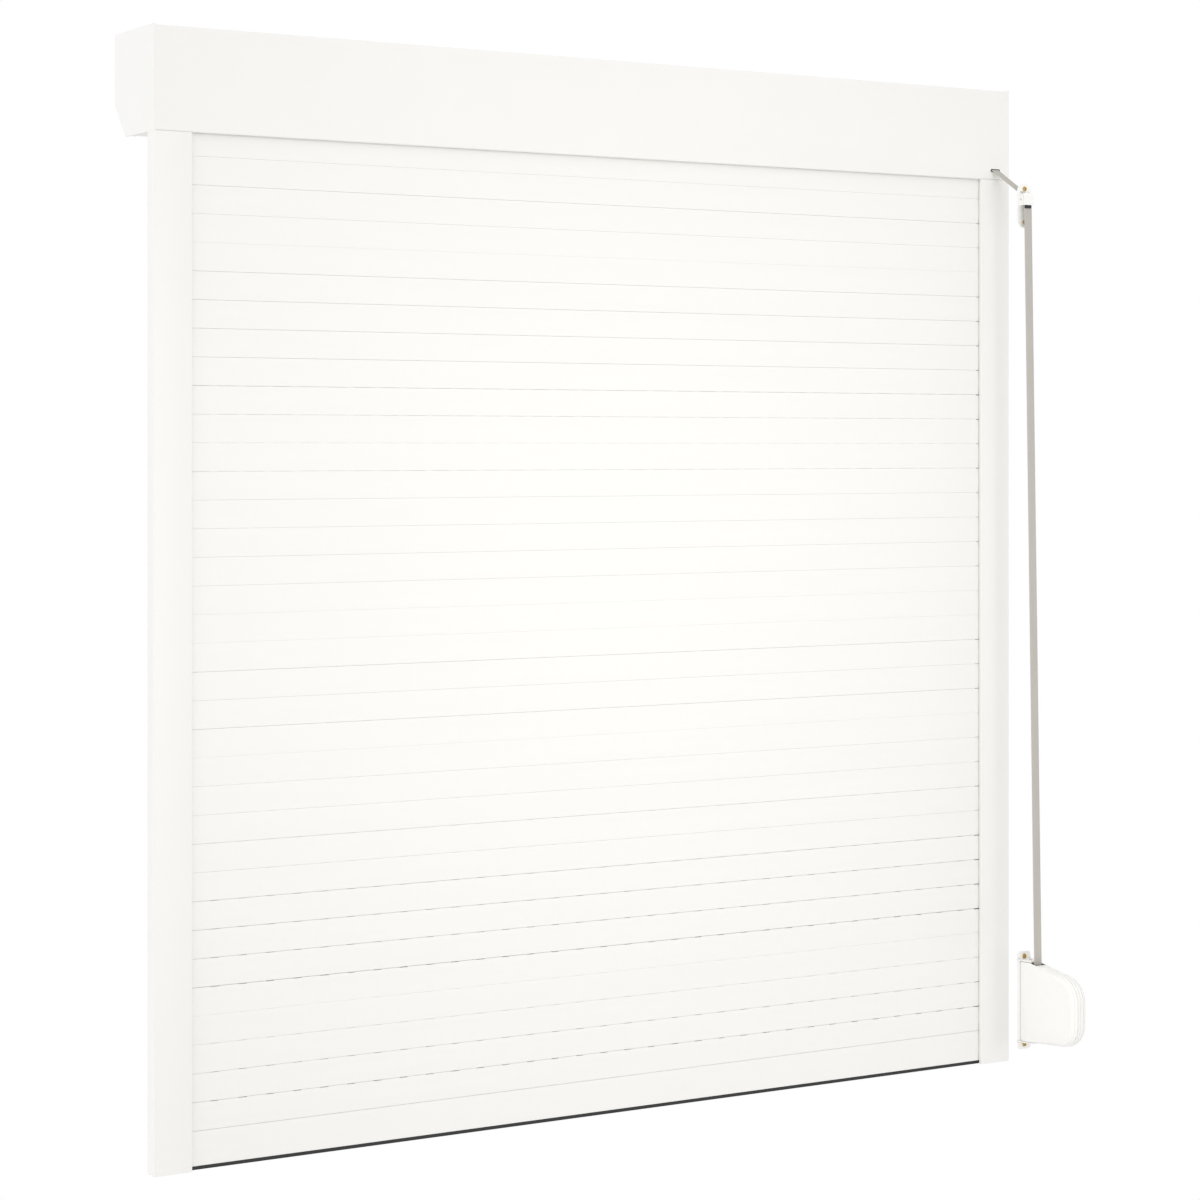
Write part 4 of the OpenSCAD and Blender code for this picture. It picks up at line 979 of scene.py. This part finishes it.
def case_ring(s, x, inset):
    """The outline drawn in by an inset, which fades from the upper and lower edges towards the back.

    The fade is smooth: with t running from 0 to 1 between the two depths, the share kept grows with
    t * t * (3 - 2 * t). The back edges follow the circle of the swing: the root of the radius squared
    less the offset squared.
    """
    outer = case_outline(s, 0.0)
    ring = case_outline(s, inset)
    t = np.clip((s.back - outer[:, 0] - s.sharp[0]) / (s.sharp[1] - s.sharp[0]), 0.0, 1.0)
    keep = LEAST_SOFT + (1 - LEAST_SOFT) * t * t * (3 - 2 * t)
    ring[:, 1] = outer[:, 1] + (ring[:, 1] - outer[:, 1]) * keep
    cut = max(0.0, s.back - s.pivot - math.sqrt(s.swing ** 2 - x ** 2))
    for part in (slice(0, CASE_STEPS + 1), slice(-CASE_STEPS - 1, None)):
        ring[part, 0] = outer[part, 0] - cut
    return ring


def case_stations(s):
    """Offset from the parting and inset of each ring of a shell, and which ring is at the mouth's edge.

    Past the flat rim the inset follows a quarter circle: the radius less the root of the radius squared
    less the squared way past the rim. Each groove adds two rings sunk by its depth.
    """
    flat = s.half - s.soft

    def fall(x):
        past = min(max(0.0, x - flat), s.soft)
        return s.soft - math.sqrt(s.soft ** 2 - past ** 2)

    angle = np.linspace(0, math.pi / 2, SIDE_STEPS + 1)
    places = sorted([*(flat + s.soft * np.sin(angle)), s.mouth[0]])
    stations = [[PARTING, PARTING_DEPTH], [PARTING, 0.0]]
    grooves = list(RIM_GROOVES)
    edge = 0
    for x in places:
        while grooves and grooves[0][0] < x:
            low, high, depth = grooves.pop(0)
            for at, sunk in ((low, 0.0), (low, depth), (high, depth), (high, 0.0)):
                stations.append([at, fall(at) + sunk])
        if x == s.mouth[0]:
            edge = len(stations)
        if x > stations[-1][0]:
            stations.append([x, fall(x)])
    return np.array(stations), edge


class SHUTTER_OT_winder(bpy.types.Operator):
    """Builds the two shells of the strap winder and the bracket that they swivel on"""

    bl_idname = "shutter.winder"
    bl_label = "Build winder"

    def execute(self, context):
        s = context.scene.shutter_winder
        place = context.scene.shutter_strap.place
        self.shells(s, place)
        self.bracket(s, place)
        return {"FINISHED"}

    def shells(self, s, place):
        """Both halves of the case: rings carried out from the parting, open at the mouth."""
        stations, edge = case_stations(s)
        rings = np.stack([case_ring(s, x, inset) for x, inset in stations])
        count = rings.shape[1]
        keep = np.ones((len(stations) - 1, count), dtype=bool)
        keep[:edge, MOUTH_POINT] = False
        for way, name in ((-1, "left"), (1, "right")):
            points = np.empty((len(stations), count, 3))
            points[:, :, 0] = place + way * stations[:, :1]
            points[:, :, 1:] = rings
            shell = Surface()
            index = shell.grid(points * MM, wrap=True, keep=keep)
            shell.lid(index[-1])
            obj = shell.build("winder_shell_" + name, finish_of("white_plastic"), "white_plastic")
            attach(obj, "winder")
            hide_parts("winder_case_" + name)

    def bracket(self, s, place):
        """The wall plate, an ear above and below the case, and the plate's two folded edges."""
        half_w, half_h, thick = s.plate
        reach, ear_t, ear_gap = s.ear
        low = s.middle + s.low - ear_gap - ear_t
        high = s.middle + s.high + ear_gap + ear_t
        bracket = Surface()
        plate = upright(half_w, -half_h, half_h, PLATE_CORNER, PLATE_CORNER, PLATE_STEPS)
        plate += (place, s.middle)
        bracket.tube(slab(plate, s.wall - thick, s.wall, PLATE_EDGE)[:, :, STANDING] * MM)
        nose = arc((place, s.wall - reach + half_w), half_w, math.pi, 2 * math.pi, NOSE_STEPS)
        ear = np.concatenate([[(place - half_w, s.wall)], nose, [(place + half_w, s.wall)]])
        bracket.tube(slab(ear, low, low + ear_t, EAR_EDGE) * MM)
        bracket.tube(slab(ear, high - ear_t, high, EAR_EDGE) * MM)
        face = s.wall - thick + FOLD_SUNK
        for way in (-1, 1):
            foot = (way * half_w, face, 0.0)
            ridge = (way * s.fold[0], s.fold[1], FOLD_RIDGE)
            inner = (way * (s.fold[0] - FOLD_WIDTH), face, 0.0)
            fold = rounded([foot, ridge, inner], FOLD_STEPS) + (place, 0.0)
            bracket.tube(slab(fold, low, high, FOLD_EDGE) * MM)
        obj = bracket.build("winder_wall_bracket", finish_of("white_aluminium"), "white_aluminium")
        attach(obj, "frame")
        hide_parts("winder_bracket")


# Width of each node's soft edges, in mm
SOFT_EDGES = {
    "end_cap_left": 0.6,
    "end_cap_right": 0.6,
    "box_rear_panel": 0.3,
    "box_service_cover": 0.3,
    "rail_left": 0.35,
    "rail_right": 0.35,
    "strap_outlet": 0.3,
    "guide_base": 0.6,
    "guide_hood": 0.45,
    "winder_mouth": 0.3,
    "bottom_seal": 0.4,
}


def softened(node, width, slot):
    """Copy of a frame node with merged points, joined flat faces and bevelled edges."""
    shape = bmesh.new()
    shape.from_mesh(frame["nodes"][node].data)
    bmesh.ops.remove_doubles(shape, verts=shape.verts, dist=MERGE)
    bmesh.ops.dissolve_limit(shape, angle_limit=FLAT, verts=shape.verts, edges=shape.edges)
    mesh = bpy.data.meshes.new("soft_" + node)
    shape.to_mesh(mesh)
    shape.free()
    mesh.polygons.foreach_set("use_smooth", np.ones(len(mesh.polygons), dtype=bool))
    mesh.set_sharp_from_angle(angle=CREASE)
    mesh.materials.clear()
    mesh.materials.append(finish_of(slot))
    obj = bpy.data.objects.new("soft_" + node, mesh)
    bpy.context.scene.collection.objects.link(obj)
    bevel = obj.modifiers.new("edges", "BEVEL")
    bevel.width = width
    bevel.segments = 2
    bevel.limit_method = "ANGLE"
    bevel.angle_limit = CREASE
    bevel.use_clamp_overlap = True
    bevel.harden_normals = True
    return obj


class SHUTTER_OT_edges(bpy.types.Operator):
    """Softens the edges of the caps, panels, rails and wall fittings"""

    bl_idname = "shutter.edges"
    bl_label = "Soften edges"

    def execute(self, context):
        record = frame["record"]
        slots = {part["node"]: part["material_slot"] for part in record["subparts"]}
        body_of = {node: body for body, nodes in record["behaviour"]["bodies"].items() for node in nodes}
        for node, width in SOFT_EDGES.items():
            obj = softened(node, width * MM, slots[node])
            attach(obj, body_of[node])
            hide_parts(node)
        return {"FINISHED"}


class SHUTTER_OT_finishes(bpy.types.Operator):
    """Gives every node of the frame the material of its slot"""

    bl_idname = "shutter.finishes"
    bl_label = "Apply finishes"

    def execute(self, context):
        for part in frame["record"]["subparts"]:
            mesh = frame["nodes"][part["node"]].data
            mesh.materials.clear()
            mesh.materials.append(finish_of(part["material_slot"]))
        return {"FINISHED"}


# Stage, in m apart from the camera's sensor, which is in mm
SENSOR = 36.0
FRONT_SOFT = 0.8
SIDE_SOFT = 0.05
FLOOR_POINTS = 96
FLOOR_RINGS = 6
FLOOR_TONE = (0.86, 0.86, 0.86)
FLOOR_FADE = (2.0, 3.2)
BACKDROP = (1.0, 1.0, 1.0)


class SHUTTER_OT_stage(bpy.types.Operator):
    """Sets the camera, the lamps, the even light and the floor"""

    bl_idname = "shutter.stage"
    bl_label = "Set stage"

    def execute(self, context):
        s = context.scene.shutter_stage
        scene = context.scene
        scene.view_settings.view_transform = "Standard"
        self.camera(scene, s)
        aim = (s.lamp_place[0], 0.0, s.lamp_place[2])
        self.spot(scene, "front_lamp", s.lamp, s.lamp_place, aim, s.pool, FRONT_SOFT)
        self.spot(scene, "side_lamp", s.side, s.side_place, s.side_aim, s.side_pool, SIDE_SOFT)
        self.sky(scene, s)
        self.floor(scene, s)
        return {"FINISHED"}

    def camera(self, scene, s):
        """Level camera with a vertical shift, so that uprights stay upright."""
        camera = bpy.data.objects.new("camera", bpy.data.cameras.new("camera"))
        camera.data.lens = s.lens
        camera.data.sensor_width = SENSOR
        camera.data.sensor_fit = "HORIZONTAL"
        camera.data.shift_y = s.shift
        camera.location = s.eye
        camera.rotation_euler = (math.pi / 2, 0.0, s.turn)
        scene.collection.objects.link(camera)
        scene.camera = camera

    def spot(self, scene, name, power, place, aim, pool, size):
        """Soft spot lamp whose pool of light has a radius where it is aimed."""
        way = Vector(aim) - Vector(place)
        light = bpy.data.lights.new(name, "SPOT")
        light.energy = power
        light.shadow_soft_size = size
        light.spot_blend = 1.0
        light.spot_size = 2 * math.atan2(pool, way.length)
        lamp = bpy.data.objects.new(name, light)
        lamp.location = place
        lamp.rotation_euler = way.to_track_quat("-Z", "Y").to_euler()
        lamp.visible_camera = False
        scene.collection.objects.link(lamp)

    def sky(self, scene, s):
        """Even light, stronger and cooler from the left, that shows as plain white."""
        world = bpy.data.worlds.new("studio")
        world.use_nodes = True
        tree = world.node_tree
        tree.nodes.clear()
        wire = Wire(tree)
        seen = self.seen(wire)
        way = wire.node("ShaderNodeTexCoord", {}, {}, out="Generated")
        left = wire.node("ShaderNodeSeparateXYZ", {}, {0: way}, out="X")
        light = s.sky - left * s.lean
        cool = left.mapped(-1.0, 0.0, 1.0, 0.0) * (1.0 - seen)
        shader = wire.node("ShaderNodeBackground", {}, {
            "Color": cool.mixed(BACKDROP, s.cool), "Strength": light + seen * (1.0 - light)})
        output = tree.nodes.new("ShaderNodeOutputWorld")
        tree.links.new(shader.socket, output.inputs["Surface"])
        scene.world = world

    def floor(self, scene, s):
        """Round floor: rings of points whose radius doubles from ring to ring."""
        angle = np.linspace(0, 2 * np.pi, FLOOR_POINTS + 1)[:-1]
        radius = np.concatenate([[0.0], 2.0 ** np.arange(FLOOR_RINGS)])
        points = np.zeros((len(radius), len(angle), 3))
        points[:, :, 0] = radius[:, None] * np.cos(angle)
        points[:, :, 1] = radius[:, None] * np.sin(angle)
        points[:, :, 2] = s.floor
        floor = Surface()
        floor.grid(points, wrap=True)
        mesh = bpy.data.meshes.new("floor")
        mesh.from_pydata(np.concatenate(floor.points), [], floor.faces)
        mesh.materials.append(self.floor_finish())
        obj = bpy.data.objects.new("floor", mesh)
        scene.collection.objects.link(obj)

    def floor_finish(self):
        """Pale floor that keeps the shadow near the object and turns into the backdrop further out."""
        finish = Finish("floor")
        finish.set(Base_Color=(*FLOOR_TONE, 1.0), Roughness=0.9)
        wire = finish.wire
        place = wire.node("ShaderNodeTexCoord", {}, {}, out="Object")
        distance = wire.node("ShaderNodeVectorMath", {"operation": "LENGTH"}, {0: place}, out="Value")
        share = distance.mapped(*FLOOR_FADE, 0.0, 1.0) * self.seen(wire)
        glow = wire.node("ShaderNodeEmission", {}, {"Color": (*BACKDROP, 1.0), "Strength": 1.0})
        own = Wire(wire.tree, finish.shader.outputs[0])
        mixed = wire.node("ShaderNodeMixShader", {}, {0: share, 1: own, 2: glow})
        wire.tree.links.new(mixed.socket, finish.output.inputs["Surface"])
        return finish.material

    def seen(self, wire):
        """One for rays that show the background: camera, glossy and transmission rays."""
        camera = wire.node("ShaderNodeLightPath", {}, {}, out="Is Camera Ray")
        glossy = wire.node("ShaderNodeLightPath", {}, {}, out="Is Glossy Ray")
        through = wire.node("ShaderNodeLightPath", {}, {}, out="Is Transmission Ray")
        return camera.math("MAXIMUM", camera.math("MAXIMUM", camera, glossy), through)


class SHUTTER_PT_panel(bpy.types.Panel):
    """Buttons that build the shutter's looks piece by piece"""

    bl_idname = "SHUTTER_PT_panel"
    bl_label = "Roller shutter"
    bl_space_type = "VIEW_3D"
    bl_region_type = "UI"
    bl_category = "Shutter"

    def draw(self, context):
        for operator in OPERATORS:
            self.layout.operator(operator.bl_idname)


OPERATORS = (
    SHUTTER_OT_finishes,
    SHUTTER_OT_curtain,
    SHUTTER_OT_strap,
    SHUTTER_OT_winder,
    SHUTTER_OT_edges,
    SHUTTER_OT_stage,
)
SETTINGS = {
    "shutter_curtain": CurtainSettings,
    "shutter_strap": StrapSettings,
    "shutter_winder": WinderSettings,
    "shutter_stage": StageSettings,
}


def register():
    for kind in (*SETTINGS.values(), *OPERATORS, SHUTTER_PT_panel):
        bpy.utils.register_class(kind)
    for name, kind in SETTINGS.items():
        setattr(bpy.types.Scene, name, PointerProperty(type=kind))


def unregister():
    for name in SETTINGS:
        delattr(bpy.types.Scene, name)
    for kind in (SHUTTER_PT_panel, *reversed(OPERATORS), *SETTINGS.values()):
        bpy.utils.unregister_class(kind)


def main():
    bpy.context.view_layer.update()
    register()
    bpy.ops.shutter.finishes()
    bpy.ops.shutter.curtain()
    bpy.ops.shutter.strap()
    bpy.ops.shutter.winder()
    bpy.ops.shutter.edges()
    bpy.ops.shutter.stage()


if __name__ == "__main__":
    main()
